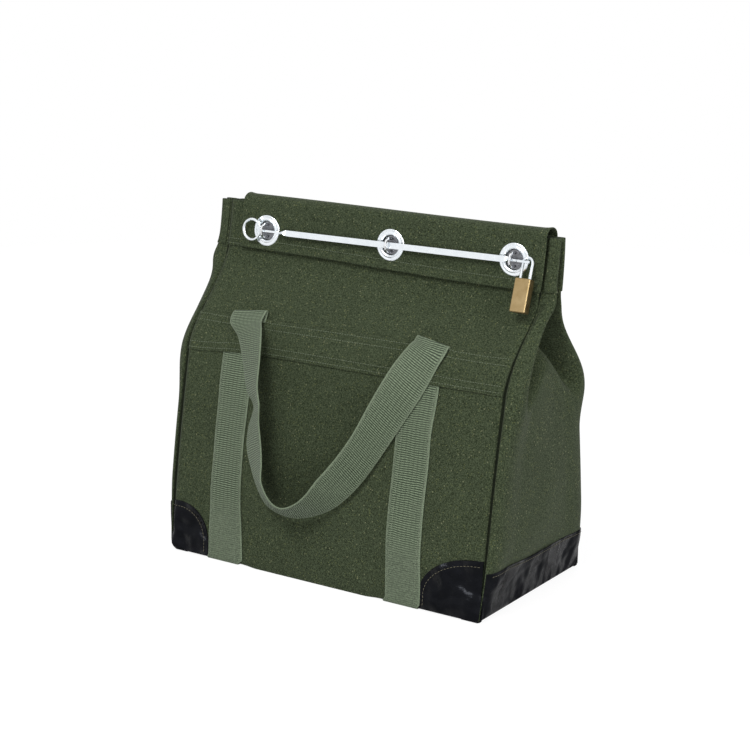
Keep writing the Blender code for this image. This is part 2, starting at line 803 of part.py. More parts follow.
def eyelet_profile():
    """A rolled rim with a groove, running into the barrel that goes through the flap."""
    hole = EYELET_HOLE / 2
    outer = EYELET_DIAMETER / 2
    barrel_end = -(FLAP_THICKNESS + CLEAR + WASHER_THICKNESS)
    roll = EYELET_RIM
    return [
        (hole, roll * 0.25),
        (hole + 0.0006, roll * 0.70),
        (hole + 0.0016, roll),
        (hole + 0.0028, roll * 0.92),
        (hole + 0.0038, roll * 0.55),
        (outer - 0.0026, roll * 0.60),
        (outer - 0.0014, roll * 0.78),
        (outer - 0.0004, roll * 0.45),
        (outer, 0.0),
        (hole + EYELET_BARREL_WALL, 0.0),
        (hole + EYELET_BARREL_WALL, barrel_end),
        (hole, barrel_end),
        (hole, roll * 0.25),
    ]


def build_eyelets(frame, pivot):
    washer_inner = EYELET_HOLE / 2 + EYELET_BARREL_WALL + CLEAR / 2
    washer_outer = EYELET_DIAMETER / 2 - 0.002
    washer = [
        (washer_outer, WASHER_THICKNESS / 2),
        (washer_outer, -WASHER_THICKNESS / 2),
        (washer_inner, -WASHER_THICKNESS / 2),
        (washer_inner, WASHER_THICKNESS / 2),
        (washer_outer, WASHER_THICKNESS / 2),
    ]
    names = ("left", "middle", "right")
    facing = Matrix.Rotation(pi / 2, 4, "X")
    to_pivot = pivot.matrix_local.inverted() @ frame.matrix_local
    for name, x in zip(names, EYELET_XS):
        ring = lathe("eyelet_" + name, eyelet_profile(), 36)
        front = add_part("eyelet_" + name, ring, "steel", pivot, radians(50))
        front.matrix_local = to_pivot @ Matrix.Translation((x, FLAP_OUTER - CLEAR / 2, 0)) @ facing
        flat_ring = lathe("washer_" + name, washer, 32)
        back = add_part("eyelet_washer_" + name, flat_ring, "steel", pivot, radians(50))
        back_y = FLAP_INNER + CLEAR / 2 + WASHER_THICKNESS / 2
        back.matrix_local = to_pivot @ Matrix.Translation((x, back_y, 0)) @ facing


def staple_path():
    """The loop in (y, z) of the mouth frame: out from the plate, round the rod and back.

    It stands out just far enough for the rod's right eye to be drawn through it.
    """
    half_height = STAPLE_INNER_RADIUS + STAPLE_WIRE / 2
    plate_face = -(2 * CLEAR + BAND_THICKNESS + STAPLE_PLATE_THICKNESS)
    start = plate_face + STAPLE_PLATE_THICKNESS / 2
    tip = ROD_Y - RIGHT_EYE_HALF - CLEAR - STAPLE_WIRE / 2
    centre = (start + tip) / 2
    bend = [
        Vector((0, centre - (centre - tip) * sin(a), half_height * cos(a))) for a in spread(0.0, pi, 11)
    ]
    return [Vector((0, start, half_height)), *bend, Vector((0, start, -half_height))]


def build_staples(frame, front_panel, front_band):
    plate_y = -(2 * CLEAR + BAND_THICKNESS + STAPLE_PLATE_THICKNESS / 2)
    facing = Matrix.Rotation(pi / 2, 4, "X")
    shank_hole = RIVET_DIAMETER / 2 + CLEAR / 2
    for name, x in zip(("left", "middle", "right"), EYELET_XS):
        disc = cylinder(STAPLE_PLATE_DIAMETER / 2, STAPLE_PLATE_THICKNESS, 32)
        staple = add_part("staple_" + name, disc, "steel", frame, radians(50))
        staple.matrix_local = Matrix.Translation((x, plate_y, 0)) @ facing
        loop = wire("loop_" + name, staple_path(), STAPLE_WIRE / 2, resolution=3)
        cut(staple, add_cutter("loop_" + name, loop, frame, Matrix.Translation((x, 0, 0))), "UNION")

        backing_y = CANVAS + CLEAR + BACKING_THICKNESS / 2
        disc = cylinder(BACKING_DIAMETER / 2, BACKING_THICKNESS, 28)
        backing = add_part("staple_backing_" + name, disc, "steel", frame, radians(50))
        backing.matrix_local = Matrix.Translation((x, backing_y, 0)) @ facing
        head_y = plate_y - STAPLE_PLATE_THICKNESS / 2 - CLEAR / 2
        for step in (-1, 1):
            rivet_x = x + step * RIVET_SPACING / 2
            shank_start = head_y - RIVET_HEAD / 2
            through = backing_y - shank_start
            shank = cylinder(RIVET_DIAMETER / 2, through, 12)
            middle = Matrix.Translation((rivet_x, shank_start + through / 2, 0)) @ facing
            cut(backing, add_cutter("shank_" + name, shank, frame, middle), "UNION")
            head = cylinder(RIVET_DIAMETER * 0.85, RIVET_HEAD, 12)
            place = Matrix.Translation((rivet_x, head_y - RIVET_HEAD / 2, 0)) @ facing
            cut(backing, add_cutter("head_" + name, head, frame, place), "UNION")
            for pierced in (staple, front_band, front_panel):
                drill = cylinder(shank_hole, 0.008, 12)
                depth_y = plate_y if pierced is staple else -0.0002
                hole = Matrix.Translation((rivet_x, depth_y, 0)) @ facing
                cut(pierced, add_cutter("rivet_hole_" + name, drill, frame, hole))


# The locking rod with its ring


def rod_right_end():
    """(slot centre x, end of the eye plate x) of the right eye, set by the padlock's shackle."""
    slot = LOCK_X - SHACKLE_SPACING / 2
    return slot, LOCK_X + SHACKLE_SPACING / 2 - SHACKLE_WIRE / 2 - 4 * CLEAR


def rod_stations():
    """The rod's strip from end to end, as (x, half width, turn): flat in the eyes, on edge between them."""
    slot_x, right_end = rod_right_end()
    eye_left = slot_x - SLOT_LENGTH / 2 - SLOT_END_WALL
    left_start = ROD_LEFT_TWIST_END - ROD_TWIST_LENGTH
    stations = [(ROD_LEFT_EYE_X + ROD_LEFT_EYE_HOLE / 2 + LEFT_EYE_WALL - ROD_OVERLAP / 2, 0.0)]
    right_stop = ROD_RIGHT_TWIST_START + ROD_TWIST_LENGTH
    left_twist = spread(left_start, ROD_LEFT_TWIST_END, ROD_TWIST_STEPS)
    right_twist = spread(ROD_RIGHT_TWIST_START, right_stop, ROD_TWIST_STEPS)
    stations += [(x, (x - left_start) / ROD_TWIST_LENGTH) for x in left_twist]
    stations += [(x, (right_stop - x) / ROD_TWIST_LENGTH) for x in right_twist]
    stations.append((eye_left + ROD_OVERLAP / 2, 0.0))
    return [
        (x, blend(ROD_NECK_WIDTH, ROD_DEPTH, smoothstep(0, 1, share)) / 2, pi / 2 * smoothstep(0, 1, share))
        for x, share in stations
    ]


def twisted_strip(name, stations):
    """A strip with a rectangular section, lofted through its stations along x."""
    shape = bmesh.new()
    rings = []
    for x, half_width, turn in stations:
        ring = []
        for across, thick in ((1, 1), (-1, 1), (-1, -1), (1, -1)):
            wide = across * half_width
            deep = thick * ROD_THICKNESS / 2
            y = wide * cos(turn) - deep * sin(turn)
            z = wide * sin(turn) + deep * cos(turn)
            ring.append(shape.verts.new((x, y, z)))
        rings.append(ring)
    for first, second in zip(rings, rings[1:]):
        for i in range(4):
            shape.faces.new((first[i], first[i - 1], second[i - 1], second[i]))
    shape.faces.new(rings[0])
    shape.faces.new(rings[-1])
    bmesh.ops.recalc_face_normals(shape, faces=shape.faces)
    mesh = bpy.data.meshes.new(name)
    shape.to_mesh(mesh)
    shape.free()
    return mesh


def build_rod(frame):
    slot_x, right_end = rod_right_end()
    strip = add_part("lock_rod", twisted_strip("lock_rod", rod_stations()), "steel", frame)
    strip.location = (0, ROD_Y, 0)
    half_eye = RIGHT_EYE_HALF
    neck = ROD_NECK_WIDTH / 2
    slot_start = slot_x - SLOT_LENGTH / 2
    slot_end = right_end - SLOT_END_WALL
    eye_left = slot_start - SLOT_END_WALL
    outline = [
        (eye_left - RIGHT_EYE_SHOULDER, -neck),
        (eye_left, -half_eye),
        *arc((right_end - RIGHT_EYE_CORNER, -half_eye + RIGHT_EYE_CORNER), RIGHT_EYE_CORNER, -pi / 2, 0, 4),
        *arc((right_end - RIGHT_EYE_CORNER, half_eye - RIGHT_EYE_CORNER), RIGHT_EYE_CORNER, 0, pi / 2, 4),
        (eye_left, half_eye),
        (eye_left - RIGHT_EYE_SHOULDER, neck),
    ]
    ease_x, ease_y = SLOT_CORNER, SLOT_WIDTH / 2 - SLOT_CORNER
    slot = [
        *arc((slot_end - ease_x, ease_y), SLOT_CORNER, 0, pi / 2, 4),
        *arc((slot_start + ease_x, ease_y), SLOT_CORNER, pi / 2, pi, 4),
        *arc((slot_start + ease_x, -ease_y), SLOT_CORNER, pi, 1.5 * pi, 4),
        *arc((slot_end - ease_x, -ease_y), SLOT_CORNER, 1.5 * pi, 2 * pi, 4),
    ]
    right = plate("right_eye", outline, ROD_THICKNESS, [slot])
    cut(strip, add_cutter("right_eye", right, strip), "UNION")

    eye_radius = ROD_LEFT_EYE_HOLE / 2 + LEFT_EYE_WALL
    rim = arc((ROD_LEFT_EYE_X, 0), eye_radius, 0, 2 * pi * 23 / 24, 24)
    hole = arc((ROD_LEFT_EYE_X, 0), ROD_LEFT_EYE_HOLE / 2, 0, 2 * pi * 15 / 16, 16)
    left = plate("left_eye", rim, ROD_THICKNESS, [hole])
    cut(strip, add_cutter("left_eye", left, strip), "UNION")
    return strip


def build_ring(rod):
    """The pull ring stands in the rod's left eye and swings about the rod's own line of pull."""
    radius = (RING_DIAMETER - RING_WIRE) / 2
    slack = ROD_LEFT_EYE_HOLE / 2 - RING_WIRE / 2 - CLEAR
    pivot = add_empty("pull_ring_pivot", (ROD_LEFT_EYE_X - slack, 0, 0), parent=rod)
    points = [Vector((radius * cos(a) - radius, 0, radius * sin(a))) for a in spread(0, 2 * pi * 31 / 32, 32)]
    ring = wire("pull_ring", points, RING_WIRE / 2, cyclic=True)
    return add_part("pull_ring", ring, "steel", pivot, radians(50))


# Padlock, built hanging from its own swing axis: z 0 is the axis, the body is below


def leg_place(side):
    return side * SHACKLE_SPACING / 2


def build_padlock(frame):
    pivot = add_empty("padlock_pivot", (LOCK_X, ROD_Y, 0), MOUTH_LEAN - LOCK_LEAN, frame)
    body_top = -LOCK_BELOW_ROD
    radius = SHACKLE_SPACING / 2
    web = ROD_THICKNESS / 2 + CLEAR + SHACKLE_WIRE / 2
    arch_centre = web - sqrt((radius - SHACKLE_WIRE / 2) ** 2 - SHACKLE_REACH**2) - SHACKLE_WIRE / 2
    arch = [
        Vector((-radius * cos(a), 0, arch_centre + radius * sin(a))) for a in spread(0, pi, 11)
    ]
    long_foot = Vector((-radius, 0, body_top - SHACKLE_LONG_LEG))
    short_foot = Vector((radius, 0, body_top - SHACKLE_SHORT_LEG))
    shackle = wire("padlock_shackle", [long_foot, *arch, short_foot], SHACKLE_WIRE / 2)
    add_part("padlock_shackle", shackle, "steel", pivot, radians(50))

    centre = Vector((0, 0, body_top - LOCK_HEIGHT / 2))
    body = add_part("padlock_body", box((LOCK_WIDTH, LOCK_THICKNESS, LOCK_HEIGHT)), "brass", pivot)
    body.location = centre
    edges = body.modifiers.new("milled_edges", "BEVEL")
    edges.width = LOCK_BEVEL
    edges.segments = 1
    for side, depth in ((-1, SHACKLE_LONG_LEG), (1, SHACKLE_SHORT_LEG)):
        hole = cylinder(SHACKLE_WIRE / 2 + SHACKLE_HOLE_CLEARANCE, depth + 0.004, 20)
        mid = Matrix.Translation((leg_place(side), 0, body_top - depth / 2 + 0.0015))
        cut(body, add_cutter("leg_hole", hole, pivot, mid))
    plug_z = body_top - LOCK_HEIGHT + KEY_PLUG_ABOVE_FOOT
    sideways = Matrix.Rotation(pi / 2, 4, "Y")
    bore_length = KEY_PLUG_LENGTH + 0.004
    bore = cylinder(KEY_PLUG_DIAMETER / 2 + CLEAR, bore_length, 24)
    bore_x = LOCK_WIDTH / 2 - KEY_PLUG_LENGTH - CLEAR + bore_length / 2
    cut(body, add_cutter("plug_bore", bore, pivot, Matrix.Translation((bore_x, 0, plug_z)) @ sideways))

    plug_shape = cylinder(KEY_PLUG_DIAMETER / 2, KEY_PLUG_LENGTH, 24)
    plug = add_part("key_plug", plug_shape, "brass", pivot, radians(50))
    plug_x = LOCK_WIDTH / 2 - KEY_PLUG_LENGTH / 2
    plug.matrix_local = Matrix.Translation((plug_x, 0, plug_z)) @ sideways
    keyway = box((KEYWAY_DEPTH, KEYWAY_WIDTH, KEYWAY_HEIGHT))
    keyway_x = LOCK_WIDTH / 2 - KEYWAY_DEPTH / 2 + 0.001
    cut(plug, add_cutter("keyway", keyway, pivot, Matrix.Translation((keyway_x, 0, plug_z))))


def build():
    front_panel = build_panels()
    build_gussets()
    build_base()
    front_band = build_bands()
    build_reinforcements()
    build_straps()
    build_handles()
    build_corners()
    build_side_strips()
    frame = add_empty("mouth_frame", (0, panel_y(ROD_HEIGHT, -1), ROD_HEIGHT), -MOUTH_LEAN)
    bpy.context.view_layer.update()
    pivot = build_flap(frame)
    bpy.context.view_layer.update()
    build_eyelets(frame, pivot)
    build_staples(frame, front_panel, front_band)
    rod = build_rod(frame)
    build_ring(rod)
    build_padlock(frame)


build()
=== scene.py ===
"""A canvas bank deposit bag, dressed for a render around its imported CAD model.

The soft pieces are laid on the same surfaces as the CAD solids, with the sag, hems, seams and stitches that
the solids leave out. The hardware is the CAD's own, with better finishes.
"""

from math import cos, pi, radians, sin, tan

import bmesh
import bpy
import numpy as np
from mathutils import Matrix, Vector, noise


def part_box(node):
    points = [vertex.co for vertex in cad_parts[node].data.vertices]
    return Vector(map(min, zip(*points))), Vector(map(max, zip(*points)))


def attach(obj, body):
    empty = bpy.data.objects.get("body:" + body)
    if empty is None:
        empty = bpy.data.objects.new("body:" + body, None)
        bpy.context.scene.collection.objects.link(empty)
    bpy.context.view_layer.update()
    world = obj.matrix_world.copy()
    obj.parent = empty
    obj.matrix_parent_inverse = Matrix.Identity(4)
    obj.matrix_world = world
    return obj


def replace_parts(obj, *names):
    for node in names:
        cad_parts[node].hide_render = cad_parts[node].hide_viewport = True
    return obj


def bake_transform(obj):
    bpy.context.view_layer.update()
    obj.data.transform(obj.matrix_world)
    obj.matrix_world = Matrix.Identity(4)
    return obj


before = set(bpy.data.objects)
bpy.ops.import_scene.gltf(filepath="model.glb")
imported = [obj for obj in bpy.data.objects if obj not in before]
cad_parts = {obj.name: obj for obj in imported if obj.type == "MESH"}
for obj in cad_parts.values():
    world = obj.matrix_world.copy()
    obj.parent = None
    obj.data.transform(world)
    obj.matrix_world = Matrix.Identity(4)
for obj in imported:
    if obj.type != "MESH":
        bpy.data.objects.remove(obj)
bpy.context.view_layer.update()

# Sizes read from the CAD model

panel_low, panel_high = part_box("front_panel")
HALF_WIDTH = panel_high.x
FOOT = panel_low.z
MOUTH_HEIGHT = panel_high.z
STRAP_XS = [(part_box(name)[0].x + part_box(name)[1].x) / 2 for name in ("strap_left", "strap_right")]
WEBBING_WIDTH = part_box("strap_left")[1].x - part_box("strap_left")[0].x
EYELET_NAMES = ("eyelet_left", "eyelet_middle", "eyelet_right")
EYELETS = [(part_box(name)[0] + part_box(name)[1]) / 2 for name in EYELET_NAMES]
FLAP_LEFT, FLAP_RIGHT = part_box("flap")[0].x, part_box("flap")[1].x

# Sizes that are the same in the CAD model

BASE_DEPTH = 0.248
MOUTH_HALF_GAP = 0.0105
MOUTH_SETBACK = 0.006
MOUTH_LEAN = radians(5)
SHOULDER_HEIGHT = MOUTH_HEIGHT - 0.184
SHOULDER_HALF_DEPTH = 0.088
SHOULDER_CURVE = 1.35
CANVAS = 0.0015
CLEAR = 0.0004
GUSSET_BULGE = 0.015
PLEAT_DEPTH = 0.078
PLEAT_STRIP = 0.017
PLEAT_STRIP_SET = 0.030
PLEAT_FOLD = 0.0045
PLEAT_WALL_SET = 0.012
PLEAT_START = SHOULDER_HEIGHT - 0.027
PLEAT_FULL = MOUTH_HEIGHT - 0.074
BAND_HEIGHT = 0.060
BAND_LOW = MOUTH_HEIGHT - BAND_HEIGHT
BAND_THICKNESS = 0.0012
REINFORCEMENT_LOW = SHOULDER_HEIGHT
REINFORCEMENT_THICKNESS = 0.0014
WEBBING_THICKNESS = 0.0018
OVER_REINFORCEMENT = CLEAR + WEBBING_THICKNESS + CLEAR + REINFORCEMENT_THICKNESS
HANDLE_DROP = 0.243
HANDLE_STAND_OFF = 0.014
HANDLE_EASE_DROP = 0.0100
HANDLE_EASE_LIFT = 0.0030
HANDLE_EASE_SHIFT = 0.0030
LEATHER = 0.0012
LEATHER_TURN_UNDER = 0.024
WASHER_THICKNESS = 0.0008
FLAP_THICKNESS = 0.0015
FLAP_RISE = 0.0105
FLAP_OUTER = -(3 * CLEAR + BAND_THICKNESS + WASHER_THICKNESS + FLAP_THICKNESS)
ROD_HEIGHT = MOUTH_HEIGHT - 0.0335

# How the filled bag's cloth settles as a whole. Here and below, a value whose name ends in HOLD, RISE, FADE,
# WIDTH or SPREAD is the distance over which something comes or goes, and four stops are where it begins, is
# full, begins to fall and ends.

LEFT_FOOT_CORNER = 0.010
RIGHT_FOOT_CORNER = 0.004
BASE_SAG = 0.0018
BASE_SAG_HEIGHT = 0.012
STRAP_HOLD_FULL = 0.030
STRAP_HOLD_END = 0.055
MOUTH_PULL_START = 0.300
MOUTH_PULL = 0.008
BAND_DIP = 0.008
BAND_LEFT_RISE = 0.0025
FLAP_DIP = 0.005

# How a panel's cloth stands in and out between its sewn lines

SEAM_HOLD = 0.05
FOOT_HOLD = 0.06
BAND_HOLD = 0.045
BROAD_SAG = 0.0042
BROAD_SAG_SIZE = 0.11
BROAD_SAG_SEED = 3.1
FINE_SAG = 0.0012
FINE_SAG_SIZE = 0.045
FINE_SAG_SEED = 7.7
PANEL_HOLLOW = 0.0012
SHOULDER_HOLD = 0.6
SHOULDER_HOLD_HEIGHT = 0.03
SEAM_TURN = 0.0032
SEAM_TURN_WIDTH = 0.0022
SEAM_TURN_RISE = 0.03

# Gussets: the bulge, the roll beside each seam, the pleat's groove and the seams

BULGE_RISE = 0.10
ROLL_LOW = 0.0060
ROLL_HIGH = 0.0130
ROLL_HIGH_START = 0.19
ROLL_HIGH_FULL = 0.26
ROLL_RISE = 0.05
ROLL_STOPS = (0.0, 0.008, 0.010, 0.055)
SHOULDER_SWELL = 0.0060
SHOULDER_SWELL_HEIGHT = 0.27
SHOULDER_SWELL_SPREAD = 0.05
SHOULDER_SWELL_STOPS = (0.55, 0.80, 0.91, 1.0)
STRIP_SWELL = 0.006
STRIP_SWELL_SPREAD = 0.016
STRIP_SWELL_STOPS = (0.01, 0.10, 0.14, 0.18)
STRIP_ROUND = 0.0015
PLEAT_END_SET = 0.002
FOLD_STOPS = (0.0, 0.235, 0.265, 0.295, 0.94, 1.0)
GROOVE_EDGE = 0.31
GROOVE_START = SHOULDER_HEIGHT - 0.026
GROOVE_FULL = SHOULDER_HEIGHT + 0.006
GROOVE_LATE = SHOULDER_HEIGHT + 0.022
GUSSET_SOFTENING = 3
RUFFLE = 0.0035
RUFFLE_SIZE = 0.07
RUFFLE_RISE = 0.07
RUFFLE_FADE = 0.05
GUSSET_EDGE = 0.03
SEAM_LIP = 0.0030
SEAM_LIP_STOPS = (0.0010, 0.0026, 0.0030, 0.0090)
SEAM_SINK = 0.0022
SEAM_SINK_FULL = 0.0006
SEAM_SINK_END = 0.0022
SEAM_FADE_START = BAND_LOW - 0.024
SEAM_FADE_END = BAND_LOW - 0.002
SEAM_COLUMNS = 12
# Width of the painted shade along each gusset seam, and its fade
SEAM_SHADE = 0.0026
SEAM_SHADE_FADE = 0.0016

# Reinforcement, straps and handles

REINFORCEMENT_HIGH = SHOULDER_HEIGHT + 0.046
FOOT_CLIMB = 0.0058
FOOT_FALL = 0.0013
ON_STRAP_FULL = 0.022
ON_STRAP_END = 0.034
STRAP_TUCK = 0.004
STRAP_TURN_GAP = 0.004
STRAP_DRIFT_FOOT = {"left": 0.004, "right": 0.003}
STRAP_DRIFT_HIGH = -0.003
STRAP_DRIFT_TURN = {"left": 0.10, "right": 0.12}
STRAP_TRUE_START = 0.20
STRAP_SPREAD_FOOT = 1.10
STRAP_SPREAD_HIGH = 0.96
STRAP_SPREAD_TURN = 0.09
HANDLE_TOP = SHOULDER_HEIGHT + 0.049
HANDLE_FOLD = REINFORCEMENT_HIGH + 0.0065
HANDLE_FOLD_RISE = 0.0032
HANDLE_FOLD_BEND = 0.0018
HANDLE_FOLD_FALL = 0.0020
HANDLE_FOLD_LIFT = 0.0006
HANDLE_END = REINFORCEMENT_HIGH - 0.0036
HANDLE_SPARE = 0.0001
HANDLE_SAMPLES = 14
FOLD_DROP_LEFT = 0.0045
FOLD_DROP_RIGHT = 0.0075
FOLD_SHIFT_LEFT = 0.0040

# Leather

CORNER_WIDTH = 0.085
CORNER_HEIGHTS = {-1: 0.0655, 1: 0.0740}
CORNER_RADII = {-1: 0.048, 1: 0.034}
RIGHT_PATCH_LOW = 0.020
PATCH_STITCH_INSET = 0.0065
PATCH_STITCH_FOOT = 0.008
PATCH_STITCH_END = 0.002
SIDE_STRIP_FRONT = 0.0600
SIDE_STRIP_REAR = 0.0550

# Flap and base

EYELET_BORE = 0.0136
BORE_LENGTH = 0.012
FLAP_TAIL = 0.030
FLAP_FOOT_GAP = 0.0005
FLAP_WAVE = 0.0009
FLAP_WAVE_SIZE = 0.09
FLAP_FOOT_LIFT = 0.0022
FLAP_FOOT_LIFT_WIDTH = 0.009
FLAP_SIDE_LIFT = 0.0012
FLAP_SIDE_LIFT_WIDTH = 0.008
BASE_END_GAP = 0.002
BASE_SIDE_GAP = 0.0025

# Stitches

STITCH_PITCH = 0.0036
STITCH_LENGTH = 0.0027
THREAD_RADIUS = 0.00042
LEATHER_STITCH_PITCH = 0.0045
LEATHER_STITCH_LENGTH = 0.0035
LEATHER_THREAD_RADIUS = 0.00032
THREAD_LIFT = 0.0001
STITCH_END_GAP = 0.004
BAND_STITCH_INSETS = (0.003, 0.009)
REINFORCEMENT_STITCH_INSETS = (0.003, 0.010)
STRAP_STITCH_INSET = 0.0045
STRAP_STITCH_TOP = 0.003
STRAP_STITCH_FOOT = 0.006
STRIP_STITCH_INSET = 0.0035
FLAP_STITCH_INSETS = (0.0040, 0.0105)


# Surfaces of the bag. A side is -1 for the front or the left, and 1 for the back or the right.


def smoothstep(low, high, value):
    """0 up to low, 1 from high on, and smooth between them."""
    t = np.clip((np.asarray(value, float) - low) / (high - low), 0.0, 1.0)
    return t * t * (3.0 - 2.0 * t)


def mix(a, b, t):
    return a + (b - a) * t


def plateau(stops, value):
    """0 outside four stops, 1 between the middle two, and smooth elsewhere."""
    return smoothstep(stops[0], stops[1], value) * smoothstep(stops[3], stops[2], value)


def hump(value, middle, spread):
    """1 at the middle, falling away smoothly on both sides."""
    return np.exp(-(((value - middle) / spread) ** 2))


def half_depth(z):
    """Half the bag's outside depth at a height: a curve to the shoulder, a slope and the leaning band."""
    z = np.asarray(z, float)
    base = BASE_DEPTH / 2
    band_half = MOUTH_HALF_GAP + BAND_HEIGHT / 2 * tan(MOUTH_LEAN)
    at_band = band_half - (z - BAND_LOW) * tan(MOUTH_LEAN)
    low = np.clip(z / SHOULDER_HEIGHT, 0.0, 1.0)
    at_foot = base - (base - SHOULDER_HALF_DEPTH) * low**SHOULDER_CURVE
    rise = BAND_LOW - SHOULDER_HEIGHT
    t = np.clip((z - SHOULDER_HEIGHT) / rise, 0.0, 1.0)
    start_slope = -SHOULDER_CURVE * (base - SHOULDER_HALF_DEPTH) / SHOULDER_HEIGHT * rise
    end_slope = -tan(MOUTH_LEAN) * rise
    at_slope = (
        SHOULDER_HALF_DEPTH * (2 * t**3 - 3 * t**2 + 1)
        + start_slope * (t**3 - 2 * t**2 + t)
        + band_half * (3 * t**2 - 2 * t**3)
        + end_slope * (t**3 - t**2)
    )
    return np.where(z >= BAND_LOW, at_band, np.where(z <= SHOULDER_HEIGHT, at_foot, at_slope))


def lean_angle(z):
    """How far a panel leans in from upright at a height."""
    step = 0.001
    return np.arctan2(half_depth(z - step) - half_depth(z + step), 2 * step)


def mouth_middle(z):
    """The y of the bag's middle at a height, which moves back towards the mouth."""
    return MOUTH_SETBACK * (z / MOUTH_HEIGHT) ** 2


def panel_y(z, side):
    """The y of a panel's plain face at a height."""
    return mouth_middle(z) + side * half_depth(z)


def settle(points):
    """Moves points of the cloth as it lies: rounded at the foot's corners, the mouth drawn right and down."""
    points = np.array(points, float)
    x, y, z = points[..., 0].copy(), points[..., 1].copy(), points[..., 2].copy()
    radius = np.where(x < 0, LEFT_FOOT_CORNER, RIGHT_FOOT_CORNER)
    a = np.clip((np.abs(x) - HALF_WIDTH + radius) / radius, 0, 1)
    b = np.clip((FOOT + radius - z) / radius, 0, 1)
    points[..., 0] -= np.sign(x) * radius * a * (1 - np.sqrt(1 - b**2 / 2))
    points[..., 2] += radius * b * (1 - np.sqrt(1 - a**2 / 2))
    between = smoothstep(STRAP_XS[0] + STRAP_HOLD_FULL, STRAP_XS[0] + STRAP_HOLD_END, x)
    between = between * smoothstep(STRAP_XS[1] - STRAP_HOLD_FULL, STRAP_XS[1] - STRAP_HOLD_END, x)
    points[..., 2] -= BASE_SAG * between * smoothstep(FOOT + BASE_SAG_HEIGHT, FOOT, z)

    points[..., 0] += MOUTH_PULL * smoothstep(MOUTH_PULL_START, MOUTH_HEIGHT, z)
    up_the_band = smoothstep(BAND_LOW, MOUTH_HEIGHT + FLAP_RISE, z)
    right_dip = mix(BAND_DIP, FLAP_DIP, up_the_band)
    left_dip = mix(-BAND_LEFT_RISE, 0.0, up_the_band)
    dip = mix(left_dip, right_dip, smoothstep(-HALF_WIDTH, HALF_WIDTH, x))
    dip = dip * smoothstep(MOUTH_PULL_START, BAND_LOW, z)
    away = np.clip((y - mouth_middle(z)) / MOUTH_HALF_GAP, -1, 1)
    points[..., 1] += away * dip * tan(MOUTH_LEAN)
    points[..., 2] -= dip
    return points


def drift(x, z, size, seed):
    """Slow unevenness of soft cloth, from -1 to 1, the same at every run."""
    shape = np.broadcast(np.asarray(x, float), np.asarray(z, float))
    values = [noise.noise(Vector((a / size, b / size, seed))) for a, b in shape]
    return np.array(values).reshape(shape.shape)


def sag(x, z, side):
    """How far a panel's cloth stands in or out of its plain form, soft between its sewn lines."""
    x, z = np.broadcast_arrays(np.asarray(x, float), np.asarray(z, float))
    from_seam = HALF_WIDTH - np.abs(x)
    seam = smoothstep(0.0, SEAM_HOLD, from_seam)
    foot = smoothstep(0.0, FOOT_HOLD, z - FOOT)
    below_band = smoothstep(0.0, BAND_HOLD, BAND_LOW - z)
    held = seam * foot * below_band
    broad = drift(x, z, BROAD_SAG_SIZE, BROAD_SAG_SEED + side) * BROAD_SAG
    fine = drift(x, z, FINE_SAG_SIZE, FINE_SAG_SEED * side) * FINE_SAG
    shoulder = hump(z, REINFORCEMENT_LOW, SHOULDER_HOLD_HEIGHT)
    edge = SEAM_TURN * hump(from_seam, 0.0, SEAM_TURN_WIDTH)
    soft = (broad + fine) * (1 - SHOULDER_HOLD * shoulder) - PANEL_HOLLOW
    return held * soft - edge * smoothstep(0.0, SEAM_TURN_RISE, z - FOOT)


def panel_point(x, z, side, proud=0.0):
    """Points on a panel's outer face, or proud of it along its normal."""
    x, z = np.broadcast_arrays(np.asarray(x, float), np.asarray(z, float))
    lean = lean_angle(z)
    out = proud + sag(x, z, side)
    return np.stack([x, panel_y(z, side) + side * out * np.cos(lean), z + out * np.sin(lean)], axis=-1)


def open_gusset(side, z, u, t):
    """Below the pleat: how far a gusset stands out sideways, t of the way from a seam to its middle."""
    inward = t * half_depth(z)
    swell = GUSSET_BULGE * smoothstep(0.0, BULGE_RISE, z)
    roll = mix(ROLL_LOW, ROLL_HIGH, smoothstep(ROLL_HIGH_START, ROLL_HIGH_FULL, z))
    roll = roll * smoothstep(0.0, ROLL_RISE, z) * plateau(ROLL_STOPS, inward)
    out = swell * np.sqrt(1.0 - (1.0 - t) ** 3) + roll
    if side > 0:
        at_shoulder = hump(z, SHOULDER_SWELL_HEIGHT, SHOULDER_SWELL_SPREAD)
        out = out + SHOULDER_SWELL * at_shoulder * plateau(SHOULDER_SWELL_STOPS, u)
    return out


def folded_gusset(z, t, seam_set):
    """At the mouth: how far the pleated gusset stands out sideways, and how far in from the panel's face."""
    reach = half_depth(z)

    # Near the mouth, where the bag is thin, the fold takes shares of its half depth
    strip_back = np.minimum(0.30 * reach, PLEAT_STRIP_SET)
    fold = np.minimum(0.21 * reach, PLEAT_FOLD)
    wall_end = reach - np.minimum(0.30 * reach, PLEAT_WALL_SET)
    strip_side = PLEAT_STRIP - STRIP_ROUND
    outs = (0.0, strip_side, PLEAT_STRIP, strip_side, -PLEAT_DEPTH + PLEAT_END_SET, -PLEAT_DEPTH)
    ins = (seam_set, strip_back, strip_back + fold / 2, strip_back + fold, wall_end, reach)
    inward = np.zeros_like(t)
    for i, (a, b) in enumerate(zip(FOLD_STOPS, FOLD_STOPS[1:])):
        here = (t >= a) & (t <= b)
        inward = np.where(here, mix(ins[i], ins[i + 1], (t - a) / (b - a)), inward)
    return np.interp(t, FOLD_STOPS, outs), inward


